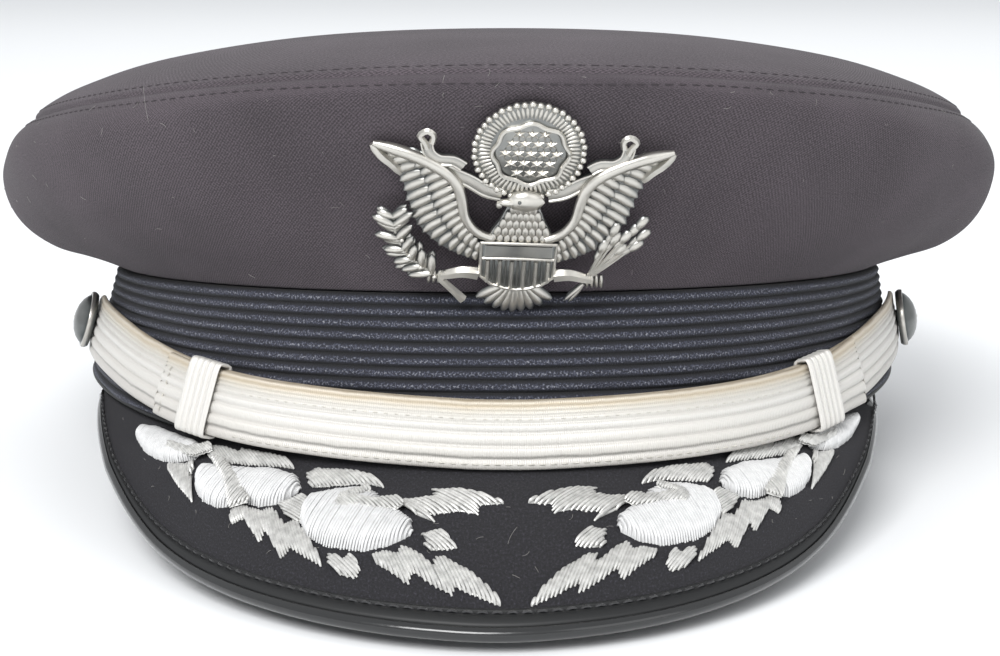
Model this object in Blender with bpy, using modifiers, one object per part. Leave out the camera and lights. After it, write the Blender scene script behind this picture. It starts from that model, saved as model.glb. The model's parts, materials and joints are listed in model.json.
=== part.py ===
"""Officer's peaked forage cap at real size: metres, +Z up, the peak towards -Y, resting on a flat surface.

Every piece is worked out in the cap's own frame, whose origin is the middle of the band's bottom edge.
The last step tips the whole cap back until it stands on the peak's tip and the back of the band.
A bearing is an angle round the head oval in degrees: 0 at the front, 90 at +X, 180 at the back.
A turn is the same kind of angle along the peak's outer edge: 0 at its tip, 90 at its right corner.
"""

import math
from collections import namedtuple

import bmesh
import bpy
from mathutils import Matrix, Vector

# Head opening and braid band
HEAD_WIDTH = 0.1808
HEAD_LENGTH = 0.2080
BAND_HEIGHT = 0.0300
BAND_WALL = 0.0042
BAND_TAPER = 0.0060
RIB_COUNT = 13
RIB_DEPTH = 0.0006
SIDE_LEAN = 0.0019

# Crown
CROWN_WALL = 0.0018
HEM_INSET = 0.0012
OVERHANG_FRONT = 0.0290
OVERHANG_SIDE = 0.0262
OVERHANG_REAR = 0.0270
SEAM_RISE_FRONT = 0.0410
SEAM_RISE_SIDE = 0.0325
SEAM_RISE_REAR = 0.0355
DOME_RISE = 0.0530
FOLD_SAG = 0.0012

# Peak, its stitched welt and its rim
VISOR_WALL = 0.0020
VISOR_CORNER_TUCK = 0.0034
VISOR_HALF_WIDTH = HEAD_WIDTH / 2 + BAND_WALL - VISOR_CORNER_TUCK
VISOR_REACH = 0.0406
VISOR_SHIFT = -0.0018
VISOR_DROP = 0.0240
VISOR_CROWNING = 0.0010
WELT_WIDTH = 0.0022
WELT_WALL = 0.0007
WELT_END_TURN = 65.0
RIM_LIP = 0.0026
RIM_WALL = 0.0008
RIM_NOSE = 0.0012
RIM_NOSE_FLAT = 0.6
RIM_EASE = 0.0004
RIM_END_TURN = 70.0

# Chin strap, its slides and buttons
STRAP_WIDTH = 0.0130
STRAP_WALL = 0.0011
STRAP_STAND = 0.0015
STRAP_FRONT_HEIGHT = 0.0049
STRAP_FRONT_START = -45.5
STRAP_FRONT_END = 51.0
STRAP_FLARE = 0.0012
STRAP_TIP_SHARE = 0.35
KEEPER_LENGTH = 0.0088
KEEPER_WALL = 0.0006
KEEPER_RIDGES = 5
KEEPER_RIDGE = 0.0004
KEEPER_EASE = 0.0006
KEEPER_LEFT_BEARING = -38.0
KEEPER_RIGHT_BEARING = 42.0
BUTTON_HEIGHT = 0.0180
BUTTON_BEARING = 75.0
BUTTON_RADIUS = 0.0064
BUTTON_DOME = 0.0042
BUTTON_STAR = 0.0036
STAR_NOTCH_SHARE = 0.42
STAR_FOOT_SHARE = 0.30
STAR_RISE_SHARE = 0.40
SHANK_RADIUS = 0.0013

# Badge
BADGE_SPAN = 0.0275
BADGE_PLATE = 0.0009
BADGE_RELIEF = 0.0013
BADGE_STAGGER = 0.0003
BADGE_FOOT_DROP = 0.0030
BADGE_FOOT_HEIGHT = BAND_HEIGHT - BADGE_FOOT_DROP
BADGE_FOOT_STAND = 0.0012
BADGE_FOOT_SHARE = 0.435
BADGE_ASIDE = 0.0008
BADGE_LEAN = 32.5
BADGE_ROLL = 2.5

# Badge ornaments: how many of each, and their places and half widths as shares of the badge's span
GLORY_RAYS = 20
GLORY_STEPS = 24
CARTOUCHE_STEPS = 12
CARTOUCHE_SHARE = 0.62
RAY_ROOT_SHARE = 0.68
RAY_LENGTH_SHARE = 0.28
RAY_HALF_WIDTH = 0.022
STRIPES = 4
STRIPE_SPREAD = 0.42
STRIPE_TOP = 0.05
STRIPE_FOOT = -0.14
STRIPE_HALF_WIDTH = 0.028
CHIEF_END = 0.23
CHIEF_HEIGHT = 0.12
CHIEF_HALF_WIDTH = 0.045
TAIL_FEATHERS = 5
TAIL_SPREAD = 0.52
TAIL_ROOT_SHARE = 0.45
TAIL_ROOT = -0.15
TAIL_TIP = -0.38
TAIL_HALF_WIDTH = 0.030
WING_FEATHERS = 8
FEATHER_ROOT = (0.30, 0.20)
FEATHER_ROOT_STEP = (0.34, 0.58)
FEATHER_TIP = (0.44, 0.10)
FEATHER_TIP_STEP = (0.50, 0.74)
FEATHER_TIP_DIP = 0.10
FEATHER_HALF_WIDTH = 0.026
STEM_HALF_WIDTH = 0.022
LEAF_LENGTH = 0.19
LEAF_HALF_WIDTH = 0.045
LEAF_LEAN = 50.0
LEAF_PLACES = (0.95, 0.70)
LEAF_BELLY_SHARE = 0.4
ARROW_NECK_SHARE = 0.95
ARROW_HEAD_LENGTH = 0.16
ARROW_HEAD_HALF_WIDTH = 0.055

# How high each kind of ornament stands, as a share of the badge's relief
RELIEF = {
    "glory": 0.35,
    "cartouche": 0.75,
    "ray": 0.60,
    "body": 0.60,
    "head": 1.00,
    "shield": 0.90,
    "chief": 1.15,
    "stripe": 1.10,
    "tail": 0.45,
    "tail_feather": 0.75,
    "wing": 0.30,
    "wing_feather": 0.55,
    "scroll": 0.50,
    "leg": 0.55,
    "stem": 0.45,
    "leaf": 0.65,
    "arrow_head": 0.70,
}

# Embroidery on the peak
PADDING_HEIGHT = 0.0016
DART_HEIGHT = 0.0009
EMBROIDERY_MIDDLE = 1.5
SHARE_SCALE = 100.0

# Clearances between pieces that meet
SEAT_GAP = 0.0003
SEAM_GAP = 0.0004

# Number of steps round a shape
BAND_STEPS = 36
CROWN_STEPS = 48
VISOR_STEPS = 36
VISOR_SHARES = (0.25, 0.50, 0.75)
STRAP_STEPS = 32
BUTTON_STEPS = 16

# Crown sections from the hem up to the seam: shares of each overhang and of each rise to the seam
CrownRow = namedtuple("CrownRow", "front_out front_up side_out side_up rear_out rear_up")
CROWN_SIDE_ROWS = (
    CrownRow(0.000, 0.000, 0.000, 0.000, 0.000, 0.000),
    CrownRow(0.130, 0.155, 0.300, 0.090, 0.250, 0.080),
    CrownRow(0.320, 0.355, 0.570, 0.160, 0.530, 0.200),
    CrownRow(0.545, 0.570, 0.800, 0.280, 0.790, 0.370),
    CrownRow(0.765, 0.765, 0.950, 0.450, 0.950, 0.560),
    CrownRow(0.960, 0.925, 1.000, 0.660, 1.000, 0.750),
    CrownRow(0.985, 0.967, 0.910, 0.850, 0.960, 0.890),
    CrownRow(0.960, 1.000, 0.720, 1.000, 0.840, 1.000),
)

# Crown rings from the seam to the middle: share of the way out, and share of the fall from the middle to the seam
TopRow = namedtuple("TopRow", "share fall")
CROWN_TOP_ROWS = (
    TopRow(1.000, 1.000),
    TopRow(0.975, 0.860),
    TopRow(0.900, 0.640),
    TopRow(0.750, 0.360),
    TopRow(0.500, 0.110),
    TopRow(0.250, 0.015),
)

# Folds where the side lobes hang on the band: bearing, spread in degrees and share of the sag
Fold = namedtuple("Fold", "bearing spread sag")
FOLDS = (
    Fold(-84.0, 9.0, 1.0),
    Fold(-112.0, 12.0, 0.5),
    Fold(74.0, 6.0, 1.0),
    Fold(98.0, 12.0, 0.6),
)

# Peak by turn: how far its inner edge is tucked under the band, as a share of the band's wall,
# how much of the whole drop its outer edge has, and how much of the shift to -X
VisorStation = namedtuple("VisorStation", "turn tuck drop shift")
VISOR_STATIONS = (
    VisorStation(0.0, 0.55, 1.000, -0.9),
    VisorStation(16.0, 0.55, 0.990, -0.7),
    VisorStation(25.0, 0.55, 0.980, -0.4),
    VisorStation(33.0, 0.55, 0.950, 0.0),
    VisorStation(41.0, 0.55, 0.875, 0.4),
    VisorStation(47.0, 0.55, 0.760, 0.8),
    VisorStation(53.0, 0.55, 0.550, 1.0),
    VisorStation(62.0, 0.60, 0.250, 0.9),
    VisorStation(71.0, 0.70, 0.085, 0.7),
    VisorStation(80.0, 0.82, 0.045, 0.4),
    VisorStation(90.0, 0.95, 0.000, 0.0),
)

# Chin strap's middle line: bearing, and share of the climb from the front up to the buttons
StrapStation = namedtuple("StrapStation", "bearing climb")
STRAP_STATIONS = (
    StrapStation(0.0, 0.00),
    StrapStation(17.0, 0.10),
    StrapStation(30.0, 0.20),
    StrapStation(40.0, 0.33),
    StrapStation(53.0, 0.62),
    StrapStation(62.0, 0.83),
    StrapStation(75.0, 1.00),
    StrapStation(90.0, 1.08),
)

# Lace profile, bottom edge to top edge: share of the width and share of the wall
LaceRow = namedtuple("LaceRow", "across depth")
LACE_ROWS = (
    LaceRow(-0.50, 0.75),
    LaceRow(-0.36, 0.80),
    LaceRow(-0.22, 1.00),
    LaceRow(-0.04, 0.80),
    LaceRow(0.14, 1.00),
    LaceRow(0.32, 0.80),
    LaceRow(0.50, 0.75),
)

# Button profile from its top to its back: share of the radius and share of the dome's height below the top
ButtonRow = namedtuple("ButtonRow", "radius fall")
BUTTON_ROWS = (
    ButtonRow(0.00, 0.00),
    ButtonRow(0.40, 0.08),
    ButtonRow(0.70, 0.30),
    ButtonRow(0.88, 0.58),
    ButtonRow(1.00, 0.66),
    ButtonRow(1.00, 0.90),
    ButtonRow(0.92, 1.00),
)

# Embroidered clouds and darts of one side: turn from the middle of the embroidery, share of the way out
CLOUDS = {
    "cloud_outer": (
        (54.0, 0.38), (52.8, 0.20), (50.0, 0.12), (46.0, 0.11), (42.5, 0.12), (40.7, 0.16),
        (41.5, 0.24), (45.0, 0.34), (48.0, 0.40), (51.5, 0.43),
    ),
    "cloud_middle": (
        (37.5, 0.26), (32.5, 0.22), (29.0, 0.20), (26.2, 0.23), (25.5, 0.31), (27.5, 0.41), (30.5, 0.47),
        (33.0, 0.46), (35.0, 0.52), (36.5, 0.55), (39.0, 0.54), (40.4, 0.49), (40.6, 0.40), (40.0, 0.30),
    ),
    "cloud_inner": (
        (24.5, 0.43), (23.5, 0.35), (21.0, 0.29), (18.5, 0.26), (16.0, 0.29), (15.5, 0.34), (14.2, 0.37),
        (11.9, 0.45), (11.7, 0.52), (14.0, 0.59), (17.0, 0.64), (21.5, 0.64), (24.0, 0.60), (25.0, 0.52),
    ),
}
DARTS = {
    "dart_outer": ((46.5, 0.41), (43.2, 0.33), (41.6, 0.28), (42.0, 0.38), (40.5, 0.58), (44.0, 0.50)),
    "dart_upper": (
        (39.8, 0.12), (37.5, 0.10), (34.5, 0.12), (34.5, 0.09), (31.0, 0.09), (28.0, 0.11),
        (27.0, 0.16), (29.0, 0.16), (36.0, 0.20), (39.5, 0.20),
    ),
    "dart_middle": (
        (34.2, 0.54), (34.5, 0.63), (32.6, 0.56), (30.0, 0.69), (29.5, 0.60), (27.0, 0.75), (26.0, 0.68),
        (21.5, 0.76), (23.5, 0.63), (25.6, 0.52), (27.0, 0.56), (28.7, 0.47), (30.5, 0.51), (33.0, 0.50),
    ),
    "dart_short": (
        (24.8, 0.21), (23.8, 0.16), (19.5, 0.15), (17.0, 0.17), (15.0, 0.24), (17.5, 0.22), (21.0, 0.25),
        (24.2, 0.28),
    ),
    "dart_inner": (
        (13.4, 0.33), (11.5, 0.315), (9.0, 0.29), (9.5, 0.25), (7.0, 0.24), (4.0, 0.27), (1.5, 0.32),
        (4.5, 0.335), (4.4, 0.39), (6.5, 0.37), (10.0, 0.40), (9.0, 0.46), (10.6, 0.42), (12.6, 0.375),
    ),
    "dart_lower": (
        (16.3, 0.68), (14.6, 0.64), (13.2, 0.645), (12.6, 0.60), (11.0, 0.63), (9.0, 0.70), (9.0, 0.65),
        (8.0, 0.65), (5.0, 0.72), (3.0, 0.80), (1.5, 0.88), (4.5, 0.83), (7.0, 0.78), (7.0, 0.83),
        (9.0, 0.79), (11.5, 0.72), (12.0, 0.79), (14.0, 0.73),
    ),
    "curl_upper": (
        (11.0, 0.50), (10.0, 0.52), (8.5, 0.50), (7.5, 0.54), (6.5, 0.58), (8.0, 0.60), (10.5, 0.60),
        (9.5, 0.57),
    ),
    "curl_lower": (
        (21.3, 0.69), (20.2, 0.69), (19.5, 0.72), (18.5, 0.68), (17.5, 0.73), (18.0, 0.79), (20.0, 0.78),
        (21.0, 0.74),
    ),
}

# Badge outlines from the middle of the shield, as shares of half its span; the right side where both match
WING = (
    (0.99, 0.89), (0.855, 0.72), (0.775, 0.58), (0.745, 0.465), (0.72, 0.345), (0.655, 0.255), (0.545, 0.135),
    (0.42, 0.055), (0.20, 0.015), (0.16, 0.255), (0.385, 0.365), (0.40, 0.545), (0.465, 0.69), (0.70, 0.80),
)
SCROLL_ARM = (
    (0.10, 0.48), (0.33, 0.60), (0.45, 0.70), (0.58, 0.74), (0.68, 0.80), (0.73, 0.98), (0.67, 1.03),
    (0.60, 1.00), (0.58, 0.90), (0.42, 0.86), (0.10, 0.62),
)
LEG = ((0.20, 0.02), (0.48, 0.00), (0.53, -0.08), (0.42, -0.15), (0.20, -0.12))
BODY = ((-0.17, 0.62), (-0.20, 0.10), (-0.14, -0.20), (0.14, -0.20), (0.20, 0.10), (0.17, 0.62))
HEAD = (
    (-0.02, 0.57), (0.06, 0.53), (0.07, 0.42), (0.00, 0.34), (-0.09, 0.39), (-0.18, 0.43), (-0.13, 0.47),
    (-0.09, 0.54),
)
SHIELD = (
    (-0.25, 0.18), (-0.25, -0.04), (-0.165, -0.155), (0.00, -0.205), (0.165, -0.155), (0.25, -0.04), (0.25, 0.18),
)
TAIL = (
    (-0.13, -0.12), (-0.30, -0.33), (-0.22, -0.40), (-0.08, -0.435), (0.08, -0.435), (0.22, -0.40),
    (0.30, -0.33), (0.13, -0.12),
)
BRANCH_STEM = ((-0.36, -0.34), (-0.48, -0.12), (-0.62, 0.03), (-0.74, 0.20), (-0.80, 0.40))
ARROW_TIPS = ((0.62, 0.33), (0.74, 0.38), (0.85, 0.30))
ARROW_NOCK = (0.36, -0.28)
GLORY_CENTRE = (0.02, 0.90)
GLORY_RADIUS = 0.37

# Colours, roughness and metal
Finish = namedtuple("Finish", "colour roughness metallic")
TWILL = Finish((0.060, 0.050, 0.060), 0.95, 0.0)
BRAID = Finish((0.020, 0.022, 0.032), 0.80, 0.0)
FELT = Finish((0.018, 0.016, 0.019), 0.95, 0.0)
PATENT = Finish((0.010, 0.011, 0.010), 0.25, 0.0)
LACE = Finish((0.750, 0.720, 0.660), 0.45, 0.3)
PADDING = Finish((0.800, 0.790, 0.760), 0.60, 0.0)
BULLION = Finish((0.520, 0.520, 0.510), 0.40, 0.8)
PEWTER = Finish((0.420, 0.410, 0.380), 0.35, 1.0)


def material(name, finish):
    """A plain Principled material."""
    item = bpy.data.materials.new(name)
    item.use_nodes = True
    shader = item.node_tree.nodes["Principled BSDF"]
    shader.inputs["Base Color"].default_value = (*finish.colour, 1.0)
    shader.inputs["Roughness"].default_value = finish.roughness
    shader.inputs["Metallic"].default_value = finish.metallic
    return item


def add_object(name, mesh, finish, collection):
    """A smooth-shaded object for a mesh, with a material of its own, in a collection."""
    mesh.shade_smooth()
    mesh.set_sharp_from_angle(angle=math.radians(35.0))
    mesh.materials.append(material(name, finish))
    item = bpy.data.objects.new(name, mesh)
    collection.objects.link(item)
    return item


def add_helper(name, mesh, collection):
    """A shape that only cuts or is fused into another one: never rendered."""
    item = bpy.data.objects.new(name, mesh)
    collection.objects.link(item)
    item.hide_render = True
    item.display_type = "WIRE"
    return item


def grid_mesh(name, rows, round_columns=False, round_rows=False, tip=None, capped=False):
    """Quads between rows of points; rows or columns may close on themselves, or meet at a tip."""
    work = bmesh.new()
    lines = [[work.verts.new(place) for place in row] for row in rows]
    pairs = list(zip(lines, lines[1:]))
    if round_rows:
        pairs.append((lines[-1], lines[0]))
    for lower, upper in pairs:
        count = len(lower)
        for index in range(count if round_columns else count - 1):
            after = (index + 1) % count
            work.faces.new((lower[index], lower[after], upper[after], upper[index]))
    if tip is not None:
        point = work.verts.new(tip)
        last = lines[-1]
        for index in range(len(last)):
            work.faces.new((last[index], last[(index + 1) % len(last)], point))
    if capped:
        work.faces.new(lines[0][::-1])
        work.faces.new(lines[-1])
        bmesh.ops.recalc_face_normals(work, faces=work.faces[:])
    mesh = bpy.data.meshes.new(name)
    work.to_mesh(mesh)
    work.free()
    return mesh


def thicken(item, wall, side):
    """Solidify: side -1 adds the wall behind the faces, +1 in front of them."""
    shell = item.modifiers.new("wall", "SOLIDIFY")
    shell.thickness = wall
    shell.offset = side
    shell.use_even_offset = True
    return shell


def between(value, stations, column):
    """A column of a station table at an angle, straight from row to row and the same on both sides."""
    angle = abs(value)
    key = stations[0]._fields[0]
    for low, high in zip(stations, stations[1:]):
        start = getattr(low, key)
        end = getattr(high, key)
        if angle <= end:
            share = (angle - start) / (end - start)
            return getattr(low, column) * (1.0 - share) + getattr(high, column) * share
    return getattr(stations[-1], column)


def oval(bearing, growth, height):
    """A place on the head oval grown outwards by some amount."""
    turn = math.radians(bearing)
    half_width = HEAD_WIDTH / 2 + growth
    half_length = HEAD_LENGTH / 2 + growth
    lean = SIDE_LEAN * min(max(height / BAND_HEIGHT, 0.0), 1.0)
    return Vector((math.sin(turn) * half_width + lean, -math.cos(turn) * half_length, height))


def band_place(bearing, height, lift=0.0):
    """A place on the band's outer face at a height, or lifted off it."""
    return oval(bearing, BAND_WALL - BAND_TAPER * height / BAND_HEIGHT + lift, height)


def band_facing(bearing):
    """The level direction that points straight out of the band."""
    step = band_place(bearing + 0.5, 0.0) - band_place(bearing - 0.5, 0.0)
    return Vector((step.y, -step.x, 0.0)).normalized()


def blend(bearing, front, side, rear):
    """A value that eases from the front through the side to the rear."""
    along = math.cos(math.radians(bearing))
    front_share = max(along, 0.0) ** 2
    rear_share = max(-along, 0.0) ** 2
    return front * front_share + rear * rear_share + side * (1.0 - front_share - rear_share)


def sag(bearing, row):
    """How far the folds pull a crown section down: most in the lower lobe, nothing at hem and seam."""
    total = 0.0
    for fold in FOLDS:
        total += fold.sag * math.exp(-(((bearing - fold.bearing) / fold.spread) ** 2))
    lobe = math.sin(math.pi * min(row.side_out, 1.0)) if row.side_up < 0.5 else 0.0
    return FOLD_SAG * total * lobe


def crown_side_place(bearing, row):
    """A place on the crown's outer face between hem and seam."""
    out = blend(
        bearing, row.front_out * OVERHANG_FRONT, row.side_out * OVERHANG_SIDE, row.rear_out * OVERHANG_REAR
    )
    rise = blend(
        bearing, row.front_up * SEAM_RISE_FRONT, row.side_up * SEAM_RISE_SIDE, row.rear_up * SEAM_RISE_REAR
    )
    hem = BAND_WALL - BAND_TAPER - HEM_INSET
    return oval(bearing, hem + out, BAND_HEIGHT + SEAT_GAP + rise - sag(bearing, row))


def crown_top_place(bearing, row):
    """A place on the crown's top between the seam and the middle."""
    seam = crown_side_place(bearing, CROWN_SIDE_ROWS[-1])
    middle = BAND_HEIGHT + DOME_RISE
    height = middle + (seam.z - middle) * row.fall
    return Vector((SIDE_LEAN + (seam.x - SIDE_LEAN) * row.share, seam.y * row.share, height))


def bearings(count):
    """Evenly spaced bearings all the way round."""
    return [360.0 * index / count - 180.0 for index in range(count)]


def braid_band(finish, collection):
    """The ribbed band: a wall with one ridge for each row of braid."""
    pitch = BAND_HEIGHT / RIB_COUNT
    outer = [(0.0, -RIB_DEPTH)]
    for rib in range(RIB_COUNT):
        outer.append(((rib + 0.5) * pitch, 0.0))
        outer.append(((rib + 1.0) * pitch, -RIB_DEPTH))
    rows = [[band_place(bearing, height, lift) for bearing in bearings(BAND_STEPS)] for height, lift in outer]
    rows.append([band_place(bearing, BAND_HEIGHT, -BAND_WALL) for bearing in bearings(BAND_STEPS)])
    rows.append([band_place(bearing, 0.0, -BAND_WALL) for bearing in bearings(BAND_STEPS)])
    mesh = grid_mesh("braid_band", rows, round_columns=True, round_rows=True)
    return add_object("braid_band", mesh, finish, collection)


def crown_side(finish, collection):
    """The crown's quarters, hem to seam, with the wall inside the outer face."""
    rows = [[crown_side_place(bearing, row) for bearing in bearings(CROWN_STEPS)] for row in CROWN_SIDE_ROWS]
    item = add_object("crown_side", grid_mesh("crown_side", rows, round_columns=True), finish, collection)
    thicken(item, CROWN_WALL, -1.0)
    return item


def crown_top(finish, collection):
    """The crown's top, starting far enough past the quarters for the two walls to clear each other."""
    rows = [[crown_top_place(bearing, row) for bearing in bearings(CROWN_STEPS)] for row in CROWN_TOP_ROWS]
    below = [crown_side_place(bearing, CROWN_SIDE_ROWS[-2]) for bearing in bearings(CROWN_STEPS)]
    first = []
    for low, seam, high in zip(below, rows[0], rows[1]):
        bend = (seam - low).angle(high - seam)
        mitre = 2.0 * CROWN_WALL * math.tan(bend / 2)
        first.append(seam + (high - seam).normalized() * (SEAM_GAP + mitre))
    rows[0] = first
    middle = Vector((SIDE_LEAN, 0.0, BAND_HEIGHT + DOME_RISE))
    mesh = grid_mesh("crown_top", rows, round_columns=True, tip=middle)
    item = add_object("crown_top", mesh, finish, collection)
    thicken(item, CROWN_WALL, -1.0)
    return item


def visor_edge_place(turn):
    """A place on the peak's outer edge, on its upper face."""
    angle = math.radians(turn)
    reach = HEAD_LENGTH / 2 + BAND_WALL + VISOR_REACH
    drop = between(turn, VISOR_STATIONS, "drop")
    shift = VISOR_SHIFT * between(turn, VISOR_STATIONS, "shift")
    height = -SEAT_GAP - (VISOR_DROP - SEAT_GAP) * drop
    return Vector((math.sin(angle) * VISOR_HALF_WIDTH + shift, -math.cos(angle) * reach, height))


def visor_root_place(turn):
    """A place on the peak's inner edge, which is tucked under the band."""
    tuck = between(turn, VISOR_STATIONS, "tuck") * BAND_WALL
    return band_place(turn, 0.0, -tuck) + Vector((0.0, 0.0, -SEAT_GAP))


def visor_place(turn, share):
    """A place on the peak's upper face: share 0 at the band, 1 at the outer edge."""
    root = visor_root_place(turn)
    place = root.lerp(visor_edge_place(turn), share)
    place.z += VISOR_CROWNING * math.sin(math.pi * share) * math.cos(math.radians(turn)) ** 2
    return place


def visor_axes(turn, share):
    """Directions on the peak's upper face: out of it square to its edge line, and up off it."""
    across = (visor_place(turn, share + 0.01) - visor_place(turn, share - 0.01)).normalized()
    along = (visor_place(turn + 0.5, share) - visor_place(turn - 0.5, share)).normalized()
    up = across.cross(along).normalized()
    return along.cross(up), up


def visor_turns(end_turn):
    """The turns of the peak's sections, up to an end turn on each side."""
    turns = [180.0 * index / VISOR_STEPS - 90.0 for index in range(VISOR_STEPS + 1)]
    return [turn for turn in turns if abs(turn) <= end_turn]


def visor(finish, collection):
    """The peak's cloth-covered board."""
    rows = []
    for turn in visor_turns(90.0):
        upper = []
        lower = []
        for share in (0.0, *VISOR_SHARES, 1.0):
            _, up = visor_axes(turn, share)
            upper.append(visor_place(turn, share))
            lower.append(visor_place(turn, share) - up * VISOR_WALL)
        rows.append(lower + upper[::-1])
    mesh = grid_mesh("visor", rows, round_columns=True, capped=True)
    return add_object("visor", mesh, finish, collection)


def swept_along_edge(name, profile, end_turn, finish, collection):
    """A bar along the peak's outer edge; profile points are (out past the edge, up off the face)."""
    rows = []
    for turn in visor_turns(end_turn):
        length = (visor_edge_place(turn) - visor_root_place(turn)).length
        outward, up = visor_axes(turn, 1.0)
        row = []
        for out, lift in profile:
            on_face = visor_place(turn, 1.0 + min(out, 0.0) / length)
            row.append(on_face + outward * max(out, 0.0) + up * lift)
        rows.append(row)
    mesh = grid_mesh(name, rows, round_columns=True, capped=True)
    return add_object(name, mesh, finish, collection)


def visor_welt(finish, collection):
    """The stitched welt inside the rim."""
    outer = -RIM_LIP - SEAT_GAP
    inner = outer - WELT_WIDTH
    low = SEAT_GAP
    high = SEAT_GAP + WELT_WALL
    bevel = WELT_WALL / 2
    profile = (
        (inner, low),
        (outer, low),
        (outer, high - bevel),
        (outer - bevel, high),
        (inner + bevel, high),
        (inner, high - bevel),
    )
    return swept_along_edge("visor_welt", profile, WELT_END_TURN, finish, collection)


def visor_rim(finish, collection):
    """The glossy rim: a channel that grips the board's edge, with a rounded nose."""
    top = RIM_EASE
    bottom = -VISOR_WALL - RIM_EASE
    middle = (top + bottom) / 2
    half = (top - bottom) / 2
    nose = RIM_EASE + RIM_NOSE
    profile = (
        (-RIM_LIP, top),
        (RIM_EASE, top),
        (RIM_EASE, bottom),
        (-RIM_LIP, bottom),
        (-RIM_LIP, bottom - RIM_WALL),
        (RIM_EASE, bottom - RIM_WALL),
        (nose, middle - half * RIM_NOSE_FLAT),
        (nose, middle + half * RIM_NOSE_FLAT),
        (RIM_EASE, top + RIM_WALL),
        (-RIM_LIP, top + RIM_WALL),
    )
    return swept_along_edge("visor_rim", profile, RIM_END_TURN, finish, collection)


def strap_place(bearing, lift):
    """A place on the chin strap's middle line, lifted off the band."""
    climb = between(bearing, STRAP_STATIONS, "climb")
    height = STRAP_FRONT_HEIGHT + (BUTTON_HEIGHT - STRAP_FRONT_HEIGHT) * climb
    return band_place(bearing, height, lift)


def strap_axes(bearing):
    """Directions on the chin strap: along it, up across it and out of it."""
    along = (strap_place(bearing + 1.0, 0.0) - strap_place(bearing - 1.0, 0.0)).normalized()
    upward = band_place(bearing, BAND_HEIGHT) - band_place(bearing, 0.0)
    outward = along.cross(upward).normalized()
    return along, outward.cross(along).normalized(), outward


def lace_section(bearing, lift, width):
    """One section of lace: a flat back and a ribbed face."""
    middle = strap_place(bearing, lift)
    _, across, outward = strap_axes(bearing)
    back = [middle + across * (width * share) for share in (0.5, -0.5)]
    face = [middle + across * (width * row.across) + outward * (STRAP_WALL * row.depth) for row in LACE_ROWS]
    return back + face


def strap_back(finish, collection, cutters):
    """The strap that lies on the band from button to button, with rounded, pierced ends."""
    end = BUTTON_BEARING + math.degrees(STRAP_WIDTH / 2 / (HEAD_LENGTH / 2))
    rows = []
    for index in range(STRAP_STEPS + 1):
        bearing = -end * math.cos(math.pi * index / STRAP_STEPS)
        left = (end - abs(bearing)) / (end - BUTTON_BEARING)
        width = STRAP_WIDTH * max(math.sqrt(1.0 - (1.0 - min(left, 1.0)) ** 2), STRAP_TIP_SHARE)
        rows.append(lace_section(bearing, STRAP_STAND, width))
    mesh = grid_mesh("strap_back", rows, round_columns=True, capped=True)
    item = add_object("strap_back", mesh, finish, collection)
    for side in (-1.0, 1.0):
        work = bmesh.new()
        bmesh.ops.create_cone(
            work,
            cap_ends=True,
            segments=BUTTON_STEPS,
            radius1=SHANK_RADIUS + SEAT_GAP,
            radius2=SHANK_RADIUS + SEAT_GAP,
            depth=STRAP_WIDTH,
        )
        hole = bpy.data.meshes.new("shank_hole")
        work.to_mesh(hole)
        work.free()
        cutter = add_helper("shank_hole", hole, cutters)
        cutter.matrix_world = button_frame(side)
        cut = item.modifiers.new("shank_hole", "BOOLEAN")
        cut.operation = "DIFFERENCE"
        cut.object = cutter
        cut.solver = "EXACT"
    return item


def strap_front(finish, collection):
    """The shorter strap over it, which runs through both slides and flares at its right end."""
    lift = STRAP_STAND + STRAP_WALL + SEAT_GAP
    flare_start = KEEPER_RIGHT_BEARING + math.degrees(KEEPER_LENGTH / (HEAD_LENGTH / 2))
    rows = []
    for index in range(STRAP_STEPS + 1):
        bearing = STRAP_FRONT_START + (STRAP_FRONT_END - STRAP_FRONT_START) * index / STRAP_STEPS
        past = max(bearing - flare_start, 0.0) / (STRAP_FRONT_END - flare_start)
        rows.append(lace_section(bearing, lift, STRAP_WIDTH + STRAP_FLARE * past))
    mesh = grid_mesh("strap_front", rows, round_columns=True, capped=True)
    return add_object("strap_front", mesh, finish, collection)


def keeper(name, bearing, finish, collection):
    """A slide: a loop round both straps with upright ridges on its face."""
    along, across, outward = strap_axes(bearing)
    middle = strap_place(bearing, STRAP_STAND)
    half = STRAP_WIDTH / 2 + KEEPER_EASE
    near = -KEEPER_EASE
    far = 2.0 * STRAP_WALL + SEAT_GAP + KEEPER_EASE
    rows = []
    for index in range(2 * KEEPER_RIDGES + 1):
        shift = KEEPER_LENGTH * (index / (2.0 * KEEPER_RIDGES) - 0.5)
        face = far + (KEEPER_RIDGE if index % 2 else 0.0)
        loop = (
            (-half, near),
            (-half, face - STRAP_WALL / 2),
            (-half + STRAP_WALL / 2, face),
            (half - STRAP_WALL / 2, face),
            (half, face - STRAP_WALL / 2),
            (half, near),
        )
        rows.append([middle + along * shift + across * up + outward * out for up, out in loop])
    mesh = grid_mesh(name, rows, round_columns=True)
    item = add_object(name, mesh, finish, collection)
    thicken(item, KEEPER_WALL, -1.0)
    return item


def button_frame(side):
    """The frame of a side button: its axis points straight out of the band at its foot."""
    bearing = side * BUTTON_BEARING
    foot = strap_place(bearing, 0.0)
    upward = (band_place(bearing, BAND_HEIGHT) - band_place(bearing, 0.0)).normalized()
    outward = band_facing(bearing)
    outward = (outward - upward * outward.dot(upward)).normalized()
    sideways = upward.cross(outward)
    frame = Matrix((sideways, upward, outward)).transposed().to_4x4()
    frame.translation = foot
    return frame


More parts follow.
